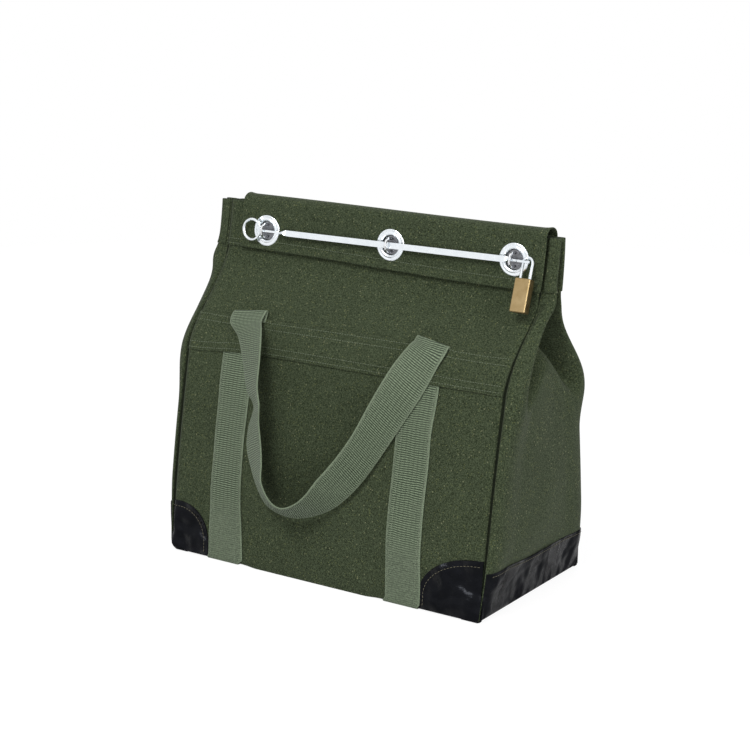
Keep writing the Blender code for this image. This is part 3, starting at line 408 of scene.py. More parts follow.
def gusset_point(side, z, u):
    """Points of a gusset's outer face: u runs from the front seam (0) to the rear seam (1)."""
    z, u = np.broadcast_arrays(np.asarray(z, float), np.asarray(u, float))
    t = np.where(u <= 0.5, 2 * u, 2 * (1 - u))
    reach = half_depth(z)
    seam_set = (CANVAS + CLEAR) / np.cos(lean_angle(z))
    x_open, y_open = open_gusset(side, z, u, t), mix(seam_set, reach, t)
    x_fold, y_fold = folded_gusset(z, t, seam_set)

    # The pleat starts low at its groove, and later towards the gusset's middle
    behind = smoothstep(FOLD_STOPS[1], GROOVE_EDGE, t)
    spread = smoothstep(GROOVE_EDGE, 1.0, t)
    start = mix(PLEAT_START, mix(GROOVE_START, GROOVE_LATE, spread), behind)
    full = mix(PLEAT_FULL, mix(GROOVE_FULL, PLEAT_FULL, spread), behind)
    pleated = smoothstep(0.0, 1.0, (z - start) / (full - start))
    under_band = hump(z, PLEAT_FULL, STRIP_SWELL_SPREAD) * plateau(STRIP_SWELL_STOPS, u)
    x = HALF_WIDTH + mix(x_open, x_fold, pleated) + STRIP_SWELL * under_band

    # The cloth rises in a lip beside its seam and sinks into it
    inward = t * reach
    lip = SEAM_LIP * plateau(SEAM_LIP_STOPS, inward)
    lip = lip - SEAM_SINK * smoothstep(SEAM_SINK_END, SEAM_SINK_FULL, inward)
    lip = lip * (1 - smoothstep(SEAM_FADE_START, SEAM_FADE_END, z))
    face = np.where(u <= 0.5, -1.0, 1.0)
    y = panel_y(z, face) - face * (mix(y_open, y_fold, pleated) - lip)
    return np.stack([side * x, y, z], axis=-1)


def normals_of(grid):
    """Unit normals of a grid of points, by the directions of its rows and columns."""
    along_rows = np.gradient(grid, axis=1)
    along_columns = np.gradient(grid, axis=0)
    normal = np.cross(along_rows, along_columns)
    length = np.linalg.norm(normal, axis=-1, keepdims=True)
    return normal / np.maximum(length, 1e-12)


def soften(grid):
    """Rounds the folds that run down a gusset's grid of points, with its first and last columns kept."""
    grid = grid.copy()
    for _ in range(GUSSET_SOFTENING):
        middle = (grid[:, :-2] + grid[:, 2:]) / 2
        grid[:, 1:-1] = mix(grid[:, 1:-1], middle, 0.5)
    return grid


# Building sheets


def rim_order(rows, columns):
    """The border vertices of a grid as (row, column), counterclockwise seen from its outer face."""
    loop = [(0, c) for c in range(columns)]
    loop += [(r, columns - 1) for r in range(1, rows)]
    loop += [(rows - 1, c) for c in range(columns - 2, -1, -1)]
    loop += [(r, 0) for r in range(rows - 2, 0, -1)]
    return loop


def cloth(name, outer, thickness, finish, body, uv=None):
    """A sheet with rounded edges: outer is a grid of points on its outer face, rows first."""
    outer = settle(outer)
    rows, columns = outer.shape[:2]
    normal = normals_of(outer)
    inner = outer - normal * thickness
    if uv is None:
        across = np.linalg.norm(np.diff(outer, axis=1), axis=-1).mean(axis=0)
        down = np.linalg.norm(np.diff(outer, axis=0), axis=-1).mean(axis=1)
        us = np.concatenate([[0.0], np.cumsum(across)])
        vs = np.concatenate([[0.0], np.cumsum(down)])
        uv = np.stack(np.meshgrid(us, vs), axis=-1)

    loop = rim_order(rows, columns)
    index = np.arange(rows * columns).reshape(rows, columns)
    points = [outer.reshape(-1, 3), inner.reshape(-1, 3)]
    uvs = [uv.reshape(-1, 2), uv.reshape(-1, 2)]
    inner_start = rows * columns
    rings = [[index[r, c] for r, c in loop]]
    total = 2 * rows * columns
    for angle in (pi / 4, pi / 2, 3 * pi / 4):
        ring_points = []
        for r, c in loop:
            near_row = min(max(r, 1), rows - 2)
            near_column = min(max(c, 1), columns - 2)
            outward = outer[r, c] - outer[near_row, near_column]
            outward = outward - normal[r, c] * float(outward @ normal[r, c])
            size = np.linalg.norm(outward)
            outward = outward / size if size > 1e-9 else outward
            middle = (outer[r, c] + inner[r, c]) / 2
            reach = thickness / 2
            ring_points.append(middle + normal[r, c] * reach * cos(angle) + outward * reach * sin(angle))
        points.append(np.array(ring_points))
        uvs.append(np.array([uv[r, c] for r, c in loop]))
        rings.append(list(range(total, total + len(loop))))
        total += len(loop)
    rings.append([inner_start + index[r, c] for r, c in loop])

    faces = []
    for r in range(rows - 1):
        for c in range(columns - 1):
            a, b, d, e = index[r, c], index[r, c + 1], index[r + 1, c + 1], index[r + 1, c]
            faces.append((a, b, d, e))
            faces.append((inner_start + a, inner_start + e, inner_start + d, inner_start + b))
    count = len(loop)
    for first, second in zip(rings, rings[1:]):
        for i in range(count):
            j = (i + 1) % count
            faces.append((first[j], first[i], second[i], second[j]))
    mesh = bpy.data.meshes.new(name)
    mesh.from_pydata(np.concatenate(points).tolist(), [], faces)
    all_uv = np.concatenate(uvs)
    layer = mesh.uv_layers.new(name="UVMap")
    corner_vertex = np.zeros(len(mesh.loops), int)
    mesh.loops.foreach_get("vertex_index", corner_vertex)
    layer.data.foreach_set("uv", all_uv[corner_vertex].ravel().astype(np.float32))
    return piece(name, mesh, finish, body)


def piece(name, mesh, finish, body):
    """A finished object of the bag that moves with a CAD body, where one is named."""
    mesh.update()
    obj = bpy.data.objects.new(name, mesh)
    bpy.context.scene.collection.objects.link(obj)
    mesh.materials.clear()
    mesh.materials.append(FINISHES[finish])
    for polygon in mesh.polygons:
        polygon.use_smooth = True
    if body:
        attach(obj, body)
    return obj


def grid_of(place, us, vs):
    """Points of place(u, v) on a grid, rows by v and columns by u."""
    u, v = np.meshgrid(np.asarray(us, float), np.asarray(vs, float))
    return place(u, v)


# Finishes


class Nodes:
    """A short hand for laying out a material's nodes."""

    def __init__(self, name):
        self.material = bpy.data.materials.new(name)
        self.material.use_nodes = True
        self.tree = self.material.node_tree
        self.tree.nodes.clear()
        self.output = self.tree.nodes.new("ShaderNodeOutputMaterial")
        self.shader = self.tree.nodes.new("ShaderNodeBsdfPrincipled")
        self.link(self.shader.outputs[0], self.output.inputs[0])

    def link(self, a, b):
        self.tree.links.new(a, b)

    def add(self, kind, inputs=None, **settings):
        node = self.tree.nodes.new(kind)
        for key, value in settings.items():
            setattr(node, key, value)
        for key, value in (inputs or {}).items():
            if isinstance(value, bpy.types.NodeSocket):
                self.link(value, node.inputs[key])
            else:
                node.inputs[key].default_value = value
        return node

    def math(self, operation, a, b=0.0):
        return self.add("ShaderNodeMath", {0: a, 1: b}, operation=operation).outputs[0]

    def noise(self, vector, scale, detail=2.0, roughness=0.5):
        inputs = {"Vector": vector, "Scale": scale, "Detail": detail, "Roughness": roughness}
        return self.add("ShaderNodeTexNoise", inputs).outputs["Fac"]

    def ramp(self, value, low, high, out_low=0.0, out_high=1.0):
        inputs = {"Value": value, 1: low, 2: high, 3: out_low, 4: out_high}
        return self.add("ShaderNodeMapRange", inputs, clamp=True).outputs[0]

    def colours(self, value, a, b):
        node = self.add("ShaderNodeMix", data_type="RGBA")
        if isinstance(value, bpy.types.NodeSocket):
            self.link(value, node.inputs["Factor"])
        else:
            node.inputs["Factor"].default_value = value
        for key, colour in (("A", a), ("B", b)):
            socket = [s for s in node.inputs if s.name == key and s.type == "RGBA"][0]
            if isinstance(colour, bpy.types.NodeSocket):
                self.link(colour, socket)
            else:
                socket.default_value = (*colour, 1.0)
        return [s for s in node.outputs if s.type == "RGBA"][0]

    def bump(self, height, strength, distance, normal=None):
        inputs = {"Height": height, "Strength": strength, "Distance": distance}
        if normal is not None:
            inputs["Normal"] = normal
        return self.add("ShaderNodeBump", inputs).outputs[0]

    def finish(self, colour, roughness, normal=None, **fixed):
        for key, value in (("Base Color", colour), ("Roughness", roughness)):
            if isinstance(value, bpy.types.NodeSocket):
                self.link(value, self.shader.inputs[key])
            else:
                self.shader.inputs[key].default_value = (*value, 1.0) if isinstance(value, tuple) else value
        if normal is not None:
            self.link(normal, self.shader.inputs["Normal"])
        for key, value in fixed.items():
            self.shader.inputs[key.replace("_", " ")].default_value = value
        return self.material


# Colours: where there are two, a darker and a lighter tone

CANVAS_BASE = ((0.032, 0.043, 0.021), (0.044, 0.058, 0.029))
CANVAS_MOTTLE = ((0.009, 0.014, 0.005), (0.090, 0.114, 0.064))
CANVAS_GRAIN = (0.008, 0.013, 0.005)
# Painted shade for the gussets' seams
CANVAS_SEAM_PAINTED_SHADE = (0.004, 0.006, 0.003)
CANVAS_FLECKS = (
    {"scale": 560.0, "left_out": 0.86, "colour": (0.17, 0.19, 0.07)},
    {"scale": 400.0, "left_out": 0.94, "colour": (0.24, 0.25, 0.14)},
)
# Painted shade and light for the webbing's ribs: dark grooves, light crests
WEBBING_RIB_PAINTED_SHADE_AND_LIGHT = ((0.016, 0.027, 0.013), (0.205, 0.262, 0.168))
WEBBING_LINES = (0.040, 0.056, 0.032)
WEBBING_PLAIN = ((0.070, 0.092, 0.058), (0.165, 0.205, 0.135))
WEBBING_RIM = (0.20, 0.25, 0.165)
LEATHER_BLACK = ((0.0008, 0.0009, 0.0015), (0.0022, 0.0023, 0.0034))
LEATHER_TINT = (0.84, 0.89, 1.0, 1.0)
CREAM_THREAD = (0.17, 0.155, 0.105)
GREEN_THREAD = (0.150, 0.180, 0.120)
GREY_THREAD = (0.210, 0.250, 0.175)
STEEL_TONES = ((0.80, 0.85, 0.89), (0.88, 0.92, 0.95))
ZINC_LOOP = (0.84, 0.85, 0.87)
# Painted shade on the staples' plates inside the eyelets
ZINC_PLATE_PAINTED_SHADE = ((0.16, 0.165, 0.175), (0.26, 0.265, 0.28))
BRASS_TONES = ((0.30, 0.215, 0.100), (0.39, 0.29, 0.150))
BOARD_TONES = ((0.05, 0.045, 0.04), (0.09, 0.08, 0.07))

# Sizes of the patterns in cloth and webbing

YARN = 0.0011
RIB_PITCH = 0.0027
HANDLE_RIB_SLANT = 0.06
RIM_WIDTH = 0.0034
RIM_TURN = 0.0011
WARP_PITCH = 0.0012
LINE_PITCH = 0.0062
WORN_BELOW = 0.075
WORN_FADE = 0.02
STAPLE_LOOP_Y = -0.0125
STAPLE_PLATE_Y = -0.0105


def woven_height(nodes, uv, yarn):
    """Height of a plain weave with yarns that far apart."""
    split = nodes.add("ShaderNodeSeparateXYZ", {0: uv})
    turns = 2 * pi / yarn
    a = nodes.math("SINE", nodes.math("MULTIPLY", split.outputs[0], turns / 2))
    b = nodes.math("SINE", nodes.math("MULTIPLY", split.outputs[1], turns / 2))
    return nodes.math("MULTIPLY", a, b)


def canvas_finish():
    """Green canvas: a mottled base under dark grain and pale flecks, with painted shade darkening the gussets'
    seams.
    """
    nodes = Nodes("canvas")
    uv = nodes.add("ShaderNodeUVMap", uv_map="UVMap").outputs[0]
    place = nodes.add("ShaderNodeTexCoord").outputs["Object"]
    worn = nodes.noise(place, 9.0, 3.0)
    heather = nodes.noise(place, 640.0, 3.0, 0.7)
    grain = nodes.noise(place, 900.0, 2.0, 0.6)
    base = nodes.colours(nodes.ramp(worn, 0.35, 0.65), *CANVAS_BASE)
    mottled = nodes.colours(nodes.ramp(heather, 0.38, 0.62), *CANVAS_MOTTLE)
    body = nodes.colours(0.75, base, mottled)
    flecked = nodes.colours(nodes.ramp(grain, 0.42, 0.60, 0.0, 0.30), body, CANVAS_GRAIN)
    for fleck in CANVAS_FLECKS:
        cell = nodes.add("ShaderNodeTexVoronoi", {"Vector": place, "Scale": fleck["scale"]}, feature="F1")
        near = nodes.ramp(cell.outputs["Distance"], 0.15, 0.42, 0.70, 0.0)
        pick = nodes.add("ShaderNodeSeparateColor", {0: cell.outputs["Color"]}).outputs[0]
        picked = nodes.ramp(pick, fleck["left_out"], fleck["left_out"] + 0.03)
        flecked = nodes.colours(nodes.math("MULTIPLY", near, picked), flecked, fleck["colour"])
    weave = woven_height(nodes, uv, YARN)
    fuzz = nodes.noise(place, 900.0, 2.0)
    normal = nodes.bump(nodes.math("ADD", weave, nodes.math("MULTIPLY", fuzz, 2.0)), 0.45, 0.0002)
    # Painted shade: the canvas is darkened along the gussets' seams, where seam_shade is set
    seam = nodes.add("ShaderNodeAttribute", attribute_name="seam_shade").outputs["Fac"]
    colour = nodes.colours(nodes.math("MULTIPLY", seam, 0.85), flecked, CANVAS_SEAM_PAINTED_SHADE)
    soft = {"Sheen_Weight": 0.06, "Sheen_Roughness": 0.5, "Specular_IOR_Level": 0.10}
    return nodes.finish(colour, 0.95, normal, **soft)


def webbing_finish(name, slant, plain_below=None):
    """Ribbed polypropylene webbing: ribs lie across it, or aslant on the handles, and wear off low down."""
    nodes = Nodes(name)
    uv = nodes.add("ShaderNodeUVMap", uv_map="UVMap").outputs[0]
    split = nodes.add("ShaderNodeSeparateXYZ", {0: uv})
    across, length = split.outputs[0], split.outputs[1]
    place = nodes.add("ShaderNodeTexCoord").outputs["Object"]
    wander = nodes.math("MULTIPLY", nodes.noise(place, 60.0, 2.0), RIB_PITCH)
    shifted = nodes.math("ADD", nodes.math("ADD", length, wander), nodes.math("MULTIPLY", across, slant))
    wave = nodes.math("SINE", nodes.math("MULTIPLY", shifted, 2 * pi / RIB_PITCH))
    rib = nodes.ramp(wave, -0.55, 0.45)
    from_middle = nodes.math("ABSOLUTE", nodes.math("SUBTRACT", across, WEBBING_WIDTH / 2))
    edge = nodes.ramp(from_middle, WEBBING_WIDTH / 2 - RIM_WIDTH, WEBBING_WIDTH / 2 - 0.0026)
    rim = nodes.ramp(from_middle, WEBBING_WIDTH / 2 - RIM_TURN, WEBBING_WIDTH / 2 - 0.0006)
    warp = nodes.math("SINE", nodes.math("MULTIPLY", across, 2 * pi / WARP_PITCH))
    mottle = nodes.noise(place, 420.0, 3.0, 0.65)
    cloudy = nodes.noise(place, 26.0, 3.0)
    # Painted shade and light: each rib's groove is painted dark and its crest light
    ribbed = nodes.colours(rib, *WEBBING_RIB_PAINTED_SHADE_AND_LIGHT)
    lines = nodes.math("SINE", nodes.math("MULTIPLY", across, 2 * pi / LINE_PITCH))
    ribbed = nodes.colours(nodes.ramp(lines, 0.2, 0.9, 0.0, 0.35), ribbed, WEBBING_LINES)
    plain = nodes.colours(nodes.ramp(mottle, 0.34, 0.66), *WEBBING_PLAIN)
    share = nodes.ramp(cloudy, 0.35, 0.65, 0.0, 0.30)
    if plain_below is not None:
        height = nodes.add("ShaderNodeSeparateXYZ", {0: place}).outputs[2]
        worn = nodes.ramp(height, plain_below - WORN_FADE, plain_below + WORN_FADE, 0.8, 0.0)
        share = nodes.math("MAXIMUM", share, worn)
    faced = nodes.colours(share, ribbed, plain)
    colour = nodes.colours(edge, faced, plain)
    colour = nodes.colours(nodes.math("MULTIPLY", rim, 0.6), colour, WEBBING_RIM)
    relief = nodes.math("ADD", rib, nodes.math("MULTIPLY", warp, 0.25))
    normal = nodes.bump(relief, 0.7, 0.0006)
    soft = {"Sheen_Weight": 0.12, "Sheen_Roughness": 0.4, "Specular_IOR_Level": 0.25}
    return nodes.finish(colour, 0.62, normal, **soft)


def leather_finish():
    """Black leather with a low shine, broad dents, creases and a fine grain."""
    nodes = Nodes("leather")
    place = nodes.add("ShaderNodeTexCoord").outputs["Object"]
    pores = nodes.add("ShaderNodeTexVoronoi", {"Vector": place, "Scale": 900.0}, feature="F1")
    crease = nodes.noise(place, 38.0, 4.0, 0.55)
    dent = nodes.noise(place, 16.0, 2.0)
    rough = nodes.ramp(crease, 0.3, 0.7, 0.16, 0.30)
    normal = nodes.bump(dent, 1.0, 0.042)
    normal = nodes.bump(crease, 0.8, 0.0034, normal)
    normal = nodes.bump(pores.outputs["Distance"], 0.25, 0.0002, normal)
    colour = nodes.colours(nodes.ramp(crease, 0.3, 0.7), *LEATHER_BLACK)
    return nodes.finish(colour, rough, normal, Specular_IOR_Level=0.13, Specular_Tint=LEATHER_TINT)


def thread_finish(name, colour):
    """Thread of one colour, with painted shade a little darker between its strands."""
    nodes = Nodes(name)
    place = nodes.add("ShaderNodeTexCoord").outputs["Object"]
    strand = nodes.noise(place, 1500.0, 2.0)
    # Painted shade: darker where the strand noise is low, between the strands
    shade = nodes.colours(nodes.ramp(strand, 0.3, 0.7), tuple(c * 0.75 for c in colour), colour)
    return nodes.finish(shade, 0.7, nodes.bump(strand, 0.4, 0.0002), Specular_IOR_Level=0.3)


def steel_finish():
    nodes = Nodes("steel")
    place = nodes.add("ShaderNodeTexCoord").outputs["Object"]
    haze = nodes.noise(place, 120.0, 3.0)
    scratch = nodes.noise(place, 800.0, 2.0)
    rough = nodes.ramp(haze, 0.3, 0.7, 0.16, 0.30)
    colour = nodes.colours(nodes.ramp(haze, 0.3, 0.7), *STEEL_TONES)
    return nodes.finish(colour, rough, nodes.bump(scratch, 0.08, 0.0001), Metallic=1.0)


def zinc_finish():
    """The staples: bright loops in front, and duller plates behind painted dark as the shade inside the
    eyelets.
    """
    nodes = Nodes("zinc")
    place = nodes.add("ShaderNodeTexCoord").outputs["Object"]
    depth = nodes.add("ShaderNodeSeparateXYZ", {0: place}).outputs[1]
    # Painted shade: the plates behind the loops are darkened by their depth, as inside the eyelets
    behind = nodes.ramp(depth, STAPLE_LOOP_Y, STAPLE_PLATE_Y)
    haze = nodes.noise(place, 220.0, 3.0)
    plate = nodes.colours(nodes.ramp(haze, 0.3, 0.7), *ZINC_PLATE_PAINTED_SHADE)
    colour = nodes.colours(behind, ZINC_LOOP, plate)
    rough = nodes.ramp(behind, 0.0, 1.0, 0.20, 0.42)
    return nodes.finish(colour, rough, Metallic=1.0)


def brass_finish():
    nodes = Nodes("brass")
    place = nodes.add("ShaderNodeTexCoord").outputs["Object"]
    stretched = nodes.add("ShaderNodeMapping", {"Vector": place, "Scale": (1.0, 1.0, 0.04)}).outputs[0]
    brushed = nodes.noise(stretched, 2600.0, 3.0, 0.6)
    stain = nodes.noise(place, 90.0, 3.0)
    colour = nodes.colours(nodes.ramp(stain, 0.3, 0.7), *BRASS_TONES)
    rough = nodes.ramp(brushed, 0.2, 0.8, 0.24, 0.42)
    return nodes.finish(colour, rough, nodes.bump(brushed, 0.15, 0.0001), Metallic=1.0)


def board_finish():
    nodes = Nodes("board")
    place = nodes.add("ShaderNodeTexCoord").outputs["Object"]
    fibre = nodes.noise(place, 300.0, 3.0)
    colour = nodes.colours(fibre, *BOARD_TONES)
    return nodes.finish(colour, 0.8, nodes.bump(fibre, 0.2, 0.0003))


FINISHES = {
    "canvas": canvas_finish(),
    "strap_webbing": webbing_finish("strap_webbing", 0.0, WORN_BELOW),
    "handle_webbing": webbing_finish("handle_webbing", HANDLE_RIB_SLANT),
    "leather": leather_finish(),
    "cream_thread": thread_finish("cream_thread", CREAM_THREAD),
    "green_thread": thread_finish("green_thread", GREEN_THREAD),
    "grey_thread": thread_finish("grey_thread", GREY_THREAD),
    "steel": steel_finish(),
    "zinc": zinc_finish(),
    "brass": brass_finish(),
    "board": board_finish(),
}


# Pieces of the bag


def make_panels():
    xs = np.linspace(-HALF_WIDTH, HALF_WIDTH, 117)
    zs = np.linspace(FOOT, MOUTH_HEIGHT, 112)
    front = grid_of(lambda x, z: panel_point(x, z, -1), xs, zs)
    back = grid_of(lambda x, z: panel_point(x, z, 1), xs[::-1], zs)
    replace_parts(cloth("canvas_front", front, CANVAS, "canvas", "bag"), "front_panel")
    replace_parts(cloth("canvas_back", back, CANVAS, "canvas", "bag"), "back_panel")


def soften_gusset(grid):
    """Rounds a gusset's folds, with the columns beside its seams kept."""
    soft = soften(grid)
    soft[:, :SEAM_COLUMNS] = grid[:, :SEAM_COLUMNS]
    soft[:, -SEAM_COLUMNS:] = grid[:, -SEAM_COLUMNS:]
    return soft


def gusset_columns():
    """Shares of a gusset's width from seam to seam, closer together near the seams."""
    near = np.linspace(0.0, GUSSET_EDGE, 16)
    between = np.linspace(GUSSET_EDGE, 1 - GUSSET_EDGE, 140)[1:-1]
    return np.concatenate([near, between, 1 - near[::-1]])


def shade_seams(obj, grid):
    """Marks a gusset's points that lie in the shade of its two seams, where the canvas paints that shade dark.
    """
    steps = np.linalg.norm(np.diff(grid, axis=1), axis=-1).mean(axis=0)
    from_start = np.concatenate([[0.0], np.cumsum(steps)])
    from_seam = np.minimum(from_start, from_start[-1] - from_start)
    shade = np.ones(len(obj.data.vertices))
    faces = np.tile(smoothstep(SEAM_SHADE + SEAM_SHADE_FADE, SEAM_SHADE, from_seam), 2 * len(grid))
    shade[: len(faces)] = faces
    layer = obj.data.attributes.new("seam_shade", "FLOAT", "POINT")
    layer.data.foreach_set("value", shade.astype(np.float32))


def make_gussets():
    """The two gussets, each with a slow ruffle between its seams."""
    us = gusset_columns()
    zs = np.linspace(FOOT, MOUTH_HEIGHT, 110)
    for name, side in (("right", 1), ("left", -1)):
        grid = grid_of(lambda u, z: gusset_point(side, z, u if side > 0 else 1 - u), us, zs)
        grid = soften_gusset(grid)
        ruffle = drift(grid[..., 1], grid[..., 2], RUFFLE_SIZE, 2.0 * side) * RUFFLE
        ruffle *= np.sin(pi * us)[None, :] * smoothstep(0.0, RUFFLE_RISE, zs - FOOT)[:, None]
        ruffle *= 1 - smoothstep(PLEAT_FULL - RUFFLE_FADE, PLEAT_FULL, zs)[:, None]
        grid = grid + normals_of(grid) * ruffle[..., None]
        gusset = cloth("canvas_gusset_" + name, grid, CANVAS, "canvas", "bag")
        shade_seams(gusset, grid)
        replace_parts(gusset, "gusset_" + name)


def make_bands():
    """The bands round the mouth: one across each panel and one folded with each pleat."""
    outer = CLEAR + BAND_THICKNESS
    xs = np.linspace(-HALF_WIDTH, HALF_WIDTH, 90)
    zs = np.linspace(BAND_LOW, MOUTH_HEIGHT, 14)
    front = grid_of(lambda x, z: panel_point(x, z, -1, outer), xs, zs)
    back = grid_of(lambda x, z: panel_point(x, z, 1, outer), xs[::-1], zs)
    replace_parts(cloth("mouth_band_front", front, BAND_THICKNESS, "canvas", "bag"), "front_mouth_band")
    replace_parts(cloth("mouth_band_back", back, BAND_THICKNESS, "canvas", "bag"), "back_mouth_band")
    us = np.linspace(GUSSET_EDGE, 1 - GUSSET_EDGE, 110)
    for name, side in (("right", 1), ("left", -1)):
        grid = grid_of(lambda u, z: gusset_point(side, z, u if side > 0 else 1 - u), us, zs)
        grid = soften(grid)
        grid = grid + normals_of(grid) * outer
        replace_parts(cloth("mouth_band_" + name, grid, BAND_THICKNESS, "canvas", "bag"), "pleat_band_" + name)


def reinforcement_foot(x):
    """The height of the reinforcement's lower edge: it climbs from the left seam, then falls a little."""
    climb = FOOT_CLIMB * smoothstep(-HALF_WIDTH, -0.13, x)
    return REINFORCEMENT_LOW + climb - FOOT_FALL * smoothstep(-0.1, 0.2, x)


def reinforcement_lift(x):
    """How far the reinforcement's face stands off the panel: further where it lies on a strap."""
    on_strap = sum(smoothstep(ON_STRAP_END, ON_STRAP_FULL, np.abs(x - centre)) for centre in STRAP_XS)
    strap_lift = (WEBBING_THICKNESS + CLEAR) * np.clip(on_strap, 0, 1)
    return CLEAR + REINFORCEMENT_THICKNESS + strap_lift


def make_reinforcements():
    xs = np.linspace(-HALF_WIDTH, HALF_WIDTH, 100)
    for name, side in (("front", -1), ("back", 1)):

        def place(x, share, side=side):
            z = mix(reinforcement_foot(x), REINFORCEMENT_HIGH, share)
            return panel_point(x, z, side, reinforcement_lift(x))

        grid = grid_of(place, xs if side < 0 else xs[::-1], np.linspace(0, 1, 14))
        band = cloth("reinforcement_" + name, grid, REINFORCEMENT_THICKNESS, "canvas", "bag")
        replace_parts(band, name + "_reinforcement")


def strap_drift(name, z):
    """How far a front strap is sewn off its straight line at a height."""
    drifted = mix(STRAP_DRIFT_FOOT[name], STRAP_DRIFT_HIGH, smoothstep(FOOT, STRAP_DRIFT_TURN[name], z))
    if name == "right":
        drifted = drifted * (1 - smoothstep(STRAP_TRUE_START, REINFORCEMENT_LOW, z))
    return drifted


def strap_spread(name, z):
    """A front strap's width at a height, as a share of the webbing's: the left one spreads at its foot."""
    if name == "left":
        return mix(STRAP_SPREAD_FOOT, STRAP_SPREAD_HIGH, smoothstep(FOOT, STRAP_SPREAD_TURN, z))
    return 1.0


def make_straps():
    """Each strap is one sheet that runs down the front, under the base and up the back."""
    proud = CLEAR + WEBBING_THICKNESS
    levels = np.linspace(REINFORCEMENT_HIGH - STRAP_TUCK, FOOT + STRAP_TURN_GAP, 90)
    turn = np.linspace(pi, 1.5 * pi, 8)
    front_y, back_y = float(panel_y(FOOT, -1)), float(panel_y(FOOT, 1))
    below = [(front_y + proud * cos(a), FOOT + proud * sin(a)) for a in turn]
    below += [(mix(front_y, back_y, share), FOOT - proud) for share in np.linspace(0.05, 0.95, 30)]
    below += [(back_y - proud * cos(a), FOOT + proud * sin(a)) for a in turn[::-1]]
    offsets = np.linspace(-WEBBING_WIDTH / 2, WEBBING_WIDTH / 2, 13)
    for name, centre in zip(("left", "right"), STRAP_XS):
        rows = []
        for z in levels:
            xs = centre + strap_drift(name, z) + offsets * strap_spread(name, z)
            rows.append(panel_point(xs, z, -1, proud))
        for y, z in below:
            rows.append(np.stack([centre + offsets, np.full_like(offsets, y), np.full_like(offsets, z)], -1))
        for z in levels[::-1]:
            rows.append(panel_point(centre + offsets, z, 1, proud))
        grid = np.array(rows)[:, ::-1]
        strap = cloth("webbing_strap_" + name, grid, WEBBING_THICKNESS, "strap_webbing", "bag")
        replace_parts(strap, "strap_" + name)


def handle_stations():
    """Middle points and width directions of the front handle's loop, as the CAD solid has them.

    The last three numbers of a station are its width direction along the panel, out of it and up it. hang()
    also takes shares of the way between the straps and of the drop, and how many stand-offs the webbing hangs
    out. Before and after the CAD's stations the webbing turns over the top end of its strap.
    """
    left, right = STRAP_XS
    top, low = HANDLE_TOP, HANDLE_TOP - HANDLE_DROP
    near = OVER_REINFORCEMENT + CLEAR
    on_strap = CLEAR + WEBBING_THICKNESS

    def at(x, level, stand, across, out, up):
        lean = float(lean_angle(level))
        width = np.array([across, up * sin(lean) - out * cos(lean), up * cos(lean) + out * sin(lean)])
        y = float(panel_y(level, -1)) - stand * cos(lean)
        return np.array([x, y, level + stand * sin(lean)]), width / np.linalg.norm(width)

    def hang(share, fall, lift, across, out, up):
        stand = near + lift * HANDLE_STAND_OFF
        return at(mix(left, right, share), mix(top, low, fall), stand, across, out, up)

    first, last = HANDLE_FOLD - FOLD_DROP_LEFT, HANDLE_FOLD - FOLD_DROP_RIGHT
    fold_left, fold_right = left - FOLD_SHIFT_LEFT, right
    slant_left, slant_right = 0.13, 0.20
    eased = near + HANDLE_EASE_LIFT
    over = (on_strap + near) / 2
    return [
        at(left - FOLD_SHIFT_LEFT / 2, HANDLE_END, on_strap, 1, 0, 0),
        at(fold_left, first + HANDLE_FOLD_BEND, on_strap + HANDLE_SPARE, 1, 0, slant_left),
        at(fold_left, first + HANDLE_FOLD_RISE, over, 1, 0, slant_left),
        at(fold_left, first + HANDLE_FOLD_BEND, near, 1, 0, slant_left),
        at(fold_left, first - HANDLE_FOLD_FALL, near + HANDLE_FOLD_LIFT, 1, 0, slant_left),
        at(fold_left + HANDLE_EASE_SHIFT, first - HANDLE_EASE_DROP, eased, 1, 0.05, 0.12),
        hang(0.06, 0.10, 0.60, 0.94, 0.33, 0.07),
        hang(0.12, 0.20, 1.00, 0.87, 0.47, 0.11),
        hang(0.16, 0.34, 1.40, 0.75, 0.61, 0.20),
        hang(0.20, 0.42, 1.55, 0.68, 0.72, 0.15),
        hang(0.19, 0.52, 1.40, 0.74, 0.60, 0.28),
        hang(0.20, 0.62, 1.35, 0.80, 0.53, 0.27),
        hang(0.23, 0.72, 1.45, 0.73, 0.60, 0.32),
        hang(0.26, 0.81, 1.60, 0.63, 0.72, 0.29),
        hang(0.32, 0.89, 1.60, 0.60, 0.74, 0.30),
        hang(0.39, 0.915, 1.60, 0.50, 0.79, 0.35),
        hang(0.46, 0.905, 1.50, 0.35, 0.81, 0.47),
        hang(0.54, 0.86, 1.35, 0.10, 0.81, 0.57),
        hang(0.62, 0.78, 1.20, -0.22, 0.70, 0.67),
        hang(0.705, 0.67, 1.05, -0.33, 0.65, 0.68),
        hang(0.78, 0.54, 0.90, -0.36, 0.63, 0.66),
        hang(0.86, 0.37, 0.75, -0.52, 0.54, 0.62),
        hang(0.935, 0.21, 0.55, -0.68, 0.36, 0.56),
        at(fold_right - HANDLE_EASE_SHIFT, last - 1.4 * HANDLE_EASE_DROP, eased, -1, 0.12, 0.46),
        at(fold_right, last - HANDLE_FOLD_FALL, near + HANDLE_FOLD_LIFT, -1, 0, slant_right),
        at(fold_right, last + HANDLE_FOLD_BEND, near, -1, 0, slant_right),
        at(fold_right, last + HANDLE_FOLD_RISE, over, -1, 0, slant_right),
        at(fold_right, last + HANDLE_FOLD_BEND, on_strap + HANDLE_SPARE, -1, 0, slant_right),
        at(fold_right, HANDLE_END, on_strap, -1, 0, 0),
    ]


